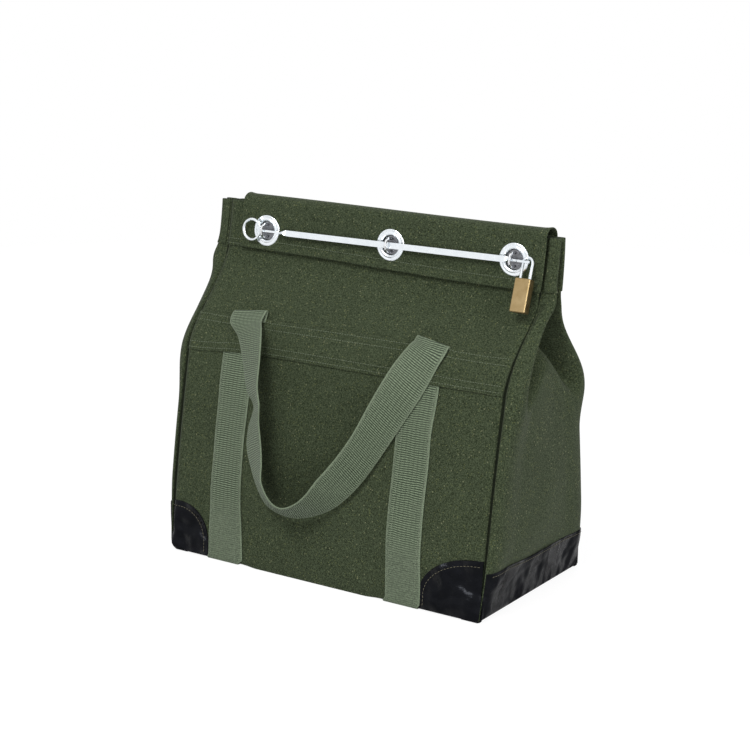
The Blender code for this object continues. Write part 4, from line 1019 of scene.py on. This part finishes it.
def through(points, per_span):
    """A smooth curve through points, with the same number of samples between each two."""
    points = [np.asarray(p, float) for p in points]
    padded = [2 * points[0] - points[1], *points, 2 * points[-1] - points[-2]]
    samples = []
    for i in range(1, len(padded) - 2):
        p0, p1, p2, p3 = padded[i - 1 : i + 3]
        before = max(np.linalg.norm(p1 - p0) ** 0.5, 1e-6)
        here = np.linalg.norm(p2 - p1) ** 0.5
        after = max(np.linalg.norm(p3 - p2) ** 0.5, 1e-6)
        m1 = (p1 - p0) / before - (p2 - p0) / (before + here) + (p2 - p1) / here
        m2 = (p2 - p1) / here - (p3 - p1) / (here + after) + (p3 - p2) / after
        m1, m2 = m1 * here, m2 * here
        for t in np.linspace(0, 1, per_span, endpoint=False):
            samples.append(
                (2 * t**3 - 3 * t**2 + 1) * p1
                + (t**3 - 2 * t**2 + t) * m1
                + (-2 * t**3 + 3 * t**2) * p2
                + (t**3 - t**2) * m2
            )
    samples.append(points[-1])
    return np.array(samples)


def make_handles():
    """The front handle's loop, and the same one turned half round for the back."""
    stations = handle_stations()
    middle = through([p for p, _ in stations], HANDLE_SAMPLES)
    width = through([w for _, w in stations], HANDLE_SAMPLES)
    width /= np.linalg.norm(width, axis=1, keepdims=True)
    offsets = np.linspace(-WEBBING_WIDTH / 2, WEBBING_WIDTH / 2, 11)
    front = middle[:, None, :] + width[:, None, :] * offsets[None, :, None]
    run = np.concatenate([[0.0], np.cumsum(np.linalg.norm(np.diff(middle, axis=0), axis=1))])
    uv = np.stack(np.meshgrid(offsets + WEBBING_WIDTH / 2, run), axis=-1)
    shift = sum(STRAP_XS)
    for name, side in (("front", -1), ("back", 1)):
        grid = front.copy()
        if side > 0:
            level = mouth_middle(middle[:, 2])
            grid[..., 0] = shift - grid[..., 0]
            grid[..., 1] = 2 * level[:, None] - grid[..., 1]
        handle = cloth("webbing_handle_" + name, grid, WEBBING_THICKNESS, "handle_webbing", None, uv)
        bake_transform(handle)
        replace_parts(handle, name + "_handle")


def corner_inner(side):
    """How far from the bag's middle a corner patch begins, clear of its strap."""
    strap_edge = side * STRAP_XS[0 if side < 0 else 1] + WEBBING_WIDTH / 2
    return max(HALF_WIDTH - CORNER_WIDTH, strap_edge + 2 * CLEAR)


def corner_top(x, side):
    """The height of a corner patch's rounded upper edge."""
    if side > 0:
        from_seam = np.clip((HALF_WIDTH - x) / (HALF_WIDTH - corner_inner(side)), 0.0, 1.0)
        return RIGHT_PATCH_LOW + (CORNER_HEIGHTS[side] - RIGHT_PATCH_LOW) * np.sqrt(1 - from_seam**2)
    radius = CORNER_RADII[side]
    drop = np.clip(radius - (x - corner_inner(side)), 0.0, radius)
    return CORNER_HEIGHTS[side] - radius + np.sqrt(radius**2 - drop**2)


def corner_seam(side):
    """The stitched path along a corner patch's inner and upper edges, as x and z."""
    inner = corner_inner(side) + PATCH_STITCH_INSET
    high = CORNER_HEIGHTS[side] - PATCH_STITCH_INSET
    turns = np.linspace(0, pi / 2, 30)
    if side > 0:
        upright = [(inner, z) for z in np.linspace(PATCH_STITCH_FOOT, RIGHT_PATCH_LOW, 4)]
        reach, rise = HALF_WIDTH - inner, high - RIGHT_PATCH_LOW
        bend = [(HALF_WIDTH - reach * cos(a), RIGHT_PATCH_LOW + rise * sin(a)) for a in turns]
        return np.array(upright + bend[1:-1])
    radius = CORNER_RADII[side] - PATCH_STITCH_INSET
    upright = [(inner, z) for z in np.linspace(PATCH_STITCH_FOOT, high - radius, 8)]
    bend = [(inner + radius * (1 - cos(a)), high - radius + radius * sin(a)) for a in turns]
    level = [(x, high) for x in np.linspace(inner + radius, HALF_WIDTH - PATCH_STITCH_END, 6)]
    return np.array(upright + bend[1:] + level[1:])


def make_corners():
    for face_name, face in (("front", -1), ("back", 1)):
        for side_name, side in (("left", -1), ("right", 1)):
            inner = corner_inner(side)
            eased = inner + CORNER_RADII[side] * (1 - np.cos(np.linspace(0, pi / 2, 22)))
            xs = np.concatenate([eased, np.linspace(eased[-1], HALF_WIDTH, 10)[1:]])

            def place(x, v, side=side, face=face):
                z = FOOT + v * (corner_top(x, side) - FOOT)
                return panel_point(side * x, z, face, CLEAR + LEATHER)

            grid = grid_of(place, xs if side * face < 0 else xs[::-1], np.linspace(0, 1, 18))
            patch = cloth(f"leather_{face_name}_{side_name}", grid, LEATHER, "leather", "bag")
            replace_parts(patch, f"{face_name}_corner_{side_name}")


def strip_top(u):
    """The height of a side strip's upper edge, from the front seam to the rear seam."""
    return mix(SIDE_STRIP_FRONT, SIDE_STRIP_REAR, smoothstep(0.0, 0.5, u))


def make_side_strips():
    """Each strip lies on its gusset's foot, bends round the edge below and runs in under the base."""
    outer = CLEAR + LEATHER
    us = gusset_columns()
    rows = np.linspace(1.0, 0.0, 16)
    for name, side in (("right", 1), ("left", -1)):

        def wall(u, share, side=side):
            along = u if side > 0 else 1 - u
            return gusset_point(side, mix(FOOT, strip_top(along), share), along)

        upper = soften_gusset(grid_of(wall, us, rows))
        foot_line = upper[-1].copy()
        upper = upper + np.array([side * outer, 0, 0])
        turn = np.linspace(0, pi / 2, 7)[1:]
        lower = [foot_line + np.array([side * outer * cos(a), 0, -outer * sin(a)]) for a in turn]
        reaches = np.linspace(0, LEATHER_TURN_UNDER, 6)[1:]
        under = [foot_line + np.array([-side * reach, 0, -outer]) for reach in reaches]
        grid = np.concatenate([upper, np.array(lower), np.array(under)])[::-1]
        strip = cloth("leather_side_" + name, grid, LEATHER, "leather", "bag")
        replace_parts(strip, "side_strip_" + name)


def mouth_frame():
    """The mouth's own axes, which lean with the band: y is 0 on the panel's face at the rod's height."""
    origin = Matrix.Translation((0, float(panel_y(ROD_HEIGHT, -1)), ROD_HEIGHT))
    return origin @ Matrix.Rotation(-MOUTH_LEAN, 4, "X")


def pierce(obj, places):
    """Cuts the eyelets' holes through a sheet: each place's y axis runs through a hole."""
    shape = bmesh.new()
    for place in places:
        along = place @ Matrix.Rotation(pi / 2, 4, "X")
        sizes = {"radius1": EYELET_BORE, "radius2": EYELET_BORE, "depth": BORE_LENGTH}
        bmesh.ops.create_cone(shape, cap_ends=True, segments=48, matrix=along, **sizes)
    mesh = bpy.data.meshes.new("eyelet_bores")
    shape.to_mesh(mesh)
    shape.free()
    cutter = bpy.data.objects.new("eyelet_bores", mesh)
    bpy.context.scene.collection.objects.link(cutter)
    bore = obj.modifiers.new("bore", "BOOLEAN")
    bore.object = cutter
    bore.solver = "EXACT"
    bpy.context.view_layer.update()
    depsgraph = bpy.context.evaluated_depsgraph_get()
    pierced = bpy.data.meshes.new_from_object(obj.evaluated_get(depsgraph))
    obj.modifiers.clear()
    obj.data = pierced
    bpy.data.objects.remove(cutter)


def flap_profile():
    """The flap's outer line in (y, z), from the foot of its tail over the mouth and down the front."""
    frame_of_mouth = mouth_frame()
    proud = 2 * CLEAR + BAND_THICKNESS + FLAP_THICKNESS
    tail_levels = np.linspace(MOUTH_HEIGHT - FLAP_TAIL, MOUTH_HEIGHT, 8)
    tail = [(float(panel_y(z, 1)) + proud, z) for z in tail_levels]
    top = frame_of_mouth @ Vector((0, FLAP_OUTER, MOUTH_HEIGHT - ROD_HEIGHT))
    low = frame_of_mouth @ Vector((0, FLAP_OUTER, BAND_LOW + FLAP_FOOT_GAP - ROD_HEIGHT))
    back_y = tail[-1][0]
    middle, span = (top.y + back_y) / 2, (back_y - top.y) / 2
    turn = np.linspace(0.05, pi - 0.05, 24)
    over = [(middle + span * cos(a), MOUTH_HEIGHT + CLEAR + FLAP_RISE * sin(a)) for a in turn]
    down = [(mix(top.y, low.y, t), mix(top.z, low.z, t)) for t in np.linspace(0.05, 1.0, 22)]
    return np.array(tail + over + down), len(tail)


def make_flap():
    """The flap with its eyelets' holes, and its tail, the part sewn to the back panel."""
    line, tail_rows = flap_profile()
    xs = np.linspace(FLAP_RIGHT, FLAP_LEFT, 90)
    grid = np.zeros((len(line), len(xs), 3))
    grid[..., 0] = xs[None, :]
    grid[..., 1] = line[:, None, 0]
    grid[..., 2] = line[:, None, 1]
    loose = np.linspace(0, 1, len(line))[:, None] ** 4
    wave = drift(xs[None, :], np.zeros_like(line[:, :1]), FLAP_WAVE_SIZE, 5.5)
    grid[..., 2] += loose * wave * FLAP_WAVE
    above_foot = np.linalg.norm(line - line[-1], axis=1)[:, None]
    from_side = np.minimum(xs - FLAP_LEFT, FLAP_RIGHT - xs)[None, :]
    foot_lift = FLAP_FOOT_LIFT * smoothstep(FLAP_FOOT_LIFT_WIDTH, 0.0, above_foot)
    side_lift = FLAP_SIDE_LIFT * smoothstep(FLAP_SIDE_LIFT_WIDTH, 0.0, from_side)
    above_band_foot = (line[:, 1] > BAND_LOW)[:, None]
    lift = np.maximum(foot_lift, side_lift * above_band_foot)
    grid = grid + normals_of(grid) * lift[..., None]
    tail = cloth("flap_tail_cloth", grid[: tail_rows + 1], FLAP_THICKNESS, "canvas", "bag")
    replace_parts(tail, "flap_tail")
    flap = cloth("flap_cloth", grid[tail_rows:], FLAP_THICKNESS, "canvas", "flap")
    pierce(flap, [mouth_frame() @ Matrix.Translation((spot.x, FLAP_OUTER, 0)) for spot in EYELETS])
    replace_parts(flap, "flap")


def make_base():
    """The flat base, just inside the panels and the gussets."""
    xs = np.linspace(-HALF_WIDTH + BASE_END_GAP, HALF_WIDTH - BASE_END_GAP, 30)
    ys = np.linspace(-BASE_DEPTH / 2 + BASE_SIDE_GAP, BASE_DEPTH / 2 - BASE_SIDE_GAP, 20)
    u, v = np.meshgrid(xs, ys[::-1])
    grid = np.stack([u, v, np.full_like(u, FOOT)], axis=-1)
    base = cloth("canvas_base", grid, CANVAS, "canvas", "bag")
    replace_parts(base, "base_panel")


make_panels()
make_gussets()
make_bands()
make_reinforcements()
make_straps()
make_handles()
make_corners()
make_side_strips()
make_flap()
make_base()


# Stitches, laid by one node tree along lines on the cloth


def stitch_tree():
    """Thread laid along a line: one small rounded stitch after another."""
    tree = bpy.data.node_groups.new("stitch_run", "GeometryNodeTree")
    face = tree.interface
    face.new_socket("Geometry", in_out="INPUT", socket_type="NodeSocketGeometry")
    sizes = (("Pitch", STITCH_PITCH), ("Stitch Length", STITCH_LENGTH), ("Thread Radius", THREAD_RADIUS))
    for name, value in sizes:
        socket = face.new_socket(name, in_out="INPUT", socket_type="NodeSocketFloat")
        socket.default_value = value
    face.new_socket("Thread", in_out="INPUT", socket_type="NodeSocketMaterial")
    face.new_socket("Geometry", in_out="OUTPUT", socket_type="NodeSocketGeometry")
    nodes, links = tree.nodes, tree.links
    start, end = nodes.new("NodeGroupInput"), nodes.new("NodeGroupOutput")
    curve = nodes.new("GeometryNodeMeshToCurve")
    spaced = nodes.new("GeometryNodeResampleCurve")
    spaced.mode = "LENGTH"
    tangent = nodes.new("GeometryNodeInputTangent")
    turn = nodes.new("FunctionNodeAlignRotationToVector")
    turn.axis = "Z"
    ball = nodes.new("GeometryNodeMeshUVSphere")
    ball.inputs["Segments"].default_value = 6
    ball.inputs["Rings"].default_value = 5
    ball.inputs["Radius"].default_value = 1.0
    half = nodes.new("ShaderNodeMath")
    half.operation = "MULTIPLY"
    half.inputs[1].default_value = 0.5
    size = nodes.new("ShaderNodeCombineXYZ")
    stretch = nodes.new("GeometryNodeTransform")
    place = nodes.new("GeometryNodeInstanceOnPoints")
    real = nodes.new("GeometryNodeRealizeInstances")
    dress = nodes.new("GeometryNodeSetMaterial")
    links.new(start.outputs["Geometry"], curve.inputs[0])
    links.new(curve.outputs[0], spaced.inputs["Curve"])
    links.new(start.outputs["Pitch"], spaced.inputs["Length"])
    links.new(tangent.outputs[0], turn.inputs["Vector"])
    links.new(start.outputs["Stitch Length"], half.inputs[0])
    links.new(start.outputs["Thread Radius"], size.inputs[0])
    links.new(start.outputs["Thread Radius"], size.inputs[1])
    links.new(half.outputs[0], size.inputs[2])
    links.new(ball.outputs["Mesh"], stretch.inputs["Geometry"])
    links.new(size.outputs[0], stretch.inputs["Scale"])
    links.new(spaced.outputs[0], place.inputs["Points"])
    links.new(stretch.outputs[0], place.inputs["Instance"])
    links.new(turn.outputs[0], place.inputs["Rotation"])
    links.new(place.outputs[0], real.inputs[0])
    links.new(real.outputs[0], dress.inputs["Geometry"])
    links.new(start.outputs["Thread"], dress.inputs["Material"])
    links.new(dress.outputs[0], end.inputs[0])
    return tree


STITCH_TREE = stitch_tree()


def sew(name, lines, thread, body, pitch=STITCH_PITCH, length=STITCH_LENGTH, radius=THREAD_RADIUS):
    """Lays stitches along lines of points, and leaves them as one plain mesh."""
    points, edges = [], []
    for line in lines:
        start = len(points)
        points.extend([tuple(p) for p in settle(line)])
        edges.extend((i, i + 1) for i in range(start, len(points) - 1))
    guide_mesh = bpy.data.meshes.new(name + "_line")
    guide_mesh.from_pydata(points, edges, [])
    guide = bpy.data.objects.new(name + "_line", guide_mesh)
    bpy.context.scene.collection.objects.link(guide)
    modifier = guide.modifiers.new("stitches", "NODES")
    modifier.node_group = STITCH_TREE
    sockets = [item for item in STITCH_TREE.interface.items_tree if item.in_out == "INPUT"]
    identifier = {socket.name: socket.identifier for socket in sockets}
    modifier[identifier["Pitch"]] = pitch
    modifier[identifier["Stitch Length"]] = length
    modifier[identifier["Thread Radius"]] = radius
    modifier[identifier["Thread"]] = FINISHES[thread]
    depsgraph = bpy.context.evaluated_depsgraph_get()
    mesh = bpy.data.meshes.new_from_object(guide.evaluated_get(depsgraph))
    bpy.data.objects.remove(guide)
    mesh.name = name
    return piece(name, mesh, thread, body)


def across_panel(x, z, side, cloth_below):
    """A line of thread on a panel, or on the layers that lie on it."""
    return panel_point(x, z, side, cloth_below + THREAD_LIFT)


def sew_bag():
    """Every seam that shows on the bag's body, in one mesh for each thread."""
    green, grey, cream = [], [], []
    xs = np.linspace(-HALF_WIDTH + STITCH_END_GAP, HALF_WIDTH - STITCH_END_GAP, 160)
    near, far = REINFORCEMENT_STITCH_INSETS
    for side in (-1, 1):
        for inset in BAND_STITCH_INSETS:
            green.append(across_panel(xs, np.full_like(xs, BAND_LOW + inset), side, CLEAR + BAND_THICKNESS))
        foot, head = reinforcement_foot(xs), np.full_like(xs, REINFORCEMENT_HIGH)
        for z in (foot + near, foot + far, head - far, head - near):
            green.append(across_panel(xs, z, side, reinforcement_lift(xs)))
        for centre in STRAP_XS:
            for edge in (-1, 1):
                x = centre + edge * (WEBBING_WIDTH / 2 - STRAP_STITCH_INSET)
                zs = np.linspace(REINFORCEMENT_LOW - STRAP_STITCH_TOP, STRAP_STITCH_FOOT, 120)
                grey.append(across_panel(np.full_like(zs, x), zs, side, CLEAR + WEBBING_THICKNESS))
        for which in (-1, 1):
            path = corner_seam(which)
            cream.append(across_panel(which * path[:, 0], path[:, 1], side, CLEAR + LEATHER))
    for side in (-1, 1):
        us = np.linspace(GUSSET_EDGE, 1 - GUSSET_EDGE, 140)
        line = gusset_point(side, strip_top(us) - STRIP_STITCH_INSET, us)
        cream.append(line + np.array([side * (CLEAR + LEATHER + THREAD_LIFT), 0, 0]))
    sew("canvas_stitches", green, "green_thread", "bag")
    sew("strap_stitches", grey, "grey_thread", "bag")
    sizes = (LEATHER_STITCH_PITCH, LEATHER_STITCH_LENGTH, LEATHER_THREAD_RADIUS)
    sew("leather_stitches", cream, "cream_thread", "bag", *sizes)


def sew_flap():
    """Two rows along the flap's lower edge, each laid on the flap's outer line."""
    line = flap_profile()[0]
    low = line[-1]
    up = line[-6] - line[-1]
    up = up / np.linalg.norm(up)
    outward = np.array([-up[1], up[0]]) * (1 if up[1] > 0 else -1)
    rows = []
    for inset in FLAP_STITCH_INSETS:
        spot = low + up * inset + outward * THREAD_LIFT
        xs = np.linspace(FLAP_LEFT + STITCH_END_GAP, FLAP_RIGHT - STITCH_END_GAP, 160)
        rows.append(np.stack([xs, np.full_like(xs, spot[0]), np.full_like(xs, spot[1])], axis=-1))
    sew("flap_stitches", rows, "green_thread", "flap")


sew_bag()
sew_flap()


# Hardware keeps the CAD's shapes

for node, finish in (
    *((f"eyelet_{n}", "steel") for n in ("left", "middle", "right")),
    *((f"eyelet_washer_{n}", "steel") for n in ("left", "middle", "right")),
    *((f"staple_{n}", "zinc") for n in ("left", "middle", "right")),
    *((f"staple_backing_{n}", "zinc") for n in ("left", "middle", "right")),
    ("lock_rod", "steel"),
    ("pull_ring", "steel"),
    ("padlock_shackle", "steel"),
    ("padlock_body", "brass"),
    ("key_plug", "brass"),
    ("base_board", "board"),
):
    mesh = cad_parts[node].data
    mesh.materials.clear()
    mesh.materials.append(FINISHES[finish])


# Floor, light and camera

FLOOR_RADIUS = 2.6
FLOOR_DROP = 0.0002
FLOOR_GREY = (0.80, 0.80, 0.80, 1)
FLOOR_GLOW = 1.1
FLOOR_GLOW_SHARE = 0.82
WHITE = (1, 1, 1, 1)
ROOM_LIGHT = 0.46
ROOM_SHOWN = 1.0
CAMERA_PLACE = (1.1933, -1.8016, 0.7602)
CAMERA_YAW, CAMERA_PITCH, CAMERA_ROLL = radians(33.488), radians(13.472), radians(0.659)
PHOTO_FOCAL, PHOTO_WIDTH = 1756.49, 750.0
SENSOR_WIDTH = 36.0
MIDDLE_OF_BAG = (0.0, 0.0, 0.22)


def make_floor():
    """A disc that takes the bag's shadow and looks white to the camera."""
    place = (0, 0, -FLOOR_DROP)
    bpy.ops.mesh.primitive_circle_add(vertices=128, radius=FLOOR_RADIUS, fill_type="NGON", location=place)
    floor = bpy.context.object
    floor.name = "floor"
    material = bpy.data.materials.new("floor_white")
    material.use_nodes = True
    nodes, links = material.node_tree.nodes, material.node_tree.links
    nodes.clear()
    out = nodes.new("ShaderNodeOutputMaterial")
    paper = nodes.new("ShaderNodeBsdfDiffuse")
    paper.inputs["Color"].default_value = FLOOR_GREY
    glow = nodes.new("ShaderNodeEmission")
    glow.inputs["Strength"].default_value = FLOOR_GLOW
    blend = nodes.new("ShaderNodeMixShader")
    path = nodes.new("ShaderNodeLightPath")
    share = nodes.new("ShaderNodeMath")
    share.operation = "MULTIPLY"
    share.inputs[1].default_value = FLOOR_GLOW_SHARE
    links.new(path.outputs["Is Camera Ray"], share.inputs[0])
    links.new(share.outputs[0], blend.inputs[0])
    links.new(paper.outputs[0], blend.inputs[1])
    links.new(glow.outputs[0], blend.inputs[2])
    links.new(blend.outputs[0], out.inputs[0])
    floor.data.materials.append(material)


def make_world():
    """An even room: dim on cloth, white to the camera and in metal."""
    world = bpy.data.worlds.new("studio")
    bpy.context.scene.world = world
    world.use_nodes = True
    nodes, links = world.node_tree.nodes, world.node_tree.links
    nodes.clear()
    out = nodes.new("ShaderNodeOutputWorld")
    dim, white = nodes.new("ShaderNodeBackground"), nodes.new("ShaderNodeBackground")
    for light, strength in ((dim, ROOM_LIGHT), (white, ROOM_SHOWN)):
        light.inputs["Color"].default_value = WHITE
        light.inputs["Strength"].default_value = strength
    path = nodes.new("ShaderNodeLightPath")
    either = nodes.new("ShaderNodeMath")
    either.operation = "MAXIMUM"
    blend = nodes.new("ShaderNodeMixShader")
    links.new(path.outputs["Is Camera Ray"], either.inputs[0])
    links.new(path.outputs["Is Glossy Ray"], either.inputs[1])
    links.new(either.outputs[0], blend.inputs[0])
    links.new(dim.outputs[0], blend.inputs[1])
    links.new(white.outputs[0], blend.inputs[2])
    links.new(blend.outputs[0], out.inputs[0])


def soft_box(name, location, width, height, power):
    """A lamp that points at the bag."""
    light = bpy.data.lights.new(name, "AREA")
    light.shape = "RECTANGLE"
    light.size, light.size_y = width, height
    light.energy = power
    lamp = bpy.data.objects.new(name, light)
    bpy.context.scene.collection.objects.link(lamp)
    lamp.location = location
    aim = Vector(MIDDLE_OF_BAG) - Vector(location)
    lamp.rotation_euler = aim.to_track_quat("-Z", "Y").to_euler()


def make_camera():
    """The photo's camera, solved from listed points of the bag in the photo."""
    camera = bpy.data.cameras.new("camera")
    camera.sensor_width = SENSOR_WIDTH
    camera.lens = PHOTO_FOCAL / PHOTO_WIDTH * SENSOR_WIDTH
    camera.clip_start, camera.clip_end = 0.05, 60.0
    holder = bpy.data.objects.new("camera", camera)
    bpy.context.scene.collection.objects.link(holder)
    turn = Matrix.Rotation(CAMERA_YAW, 4, "Z") @ Matrix.Rotation(pi / 2 - CAMERA_PITCH, 4, "X")
    turn = turn @ Matrix.Rotation(CAMERA_ROLL, 4, "Z")
    holder.matrix_world = Matrix.Translation(CAMERA_PLACE) @ turn
    bpy.context.scene.camera = holder


make_floor()
make_world()
soft_box("key_light", (0.1, -2.4, 2.8), 1.4, 1.4, 66.0)
soft_box("side_light", (2.6, -0.6, 1.5), 1.2, 1.6, 32.0)
soft_box("back_light", (-0.5, 2.4, 1.8), 1.6, 1.6, 20.0)
make_camera()
bpy.context.scene.view_settings.view_transform = "Standard"

bpy.context.view_layer.update()
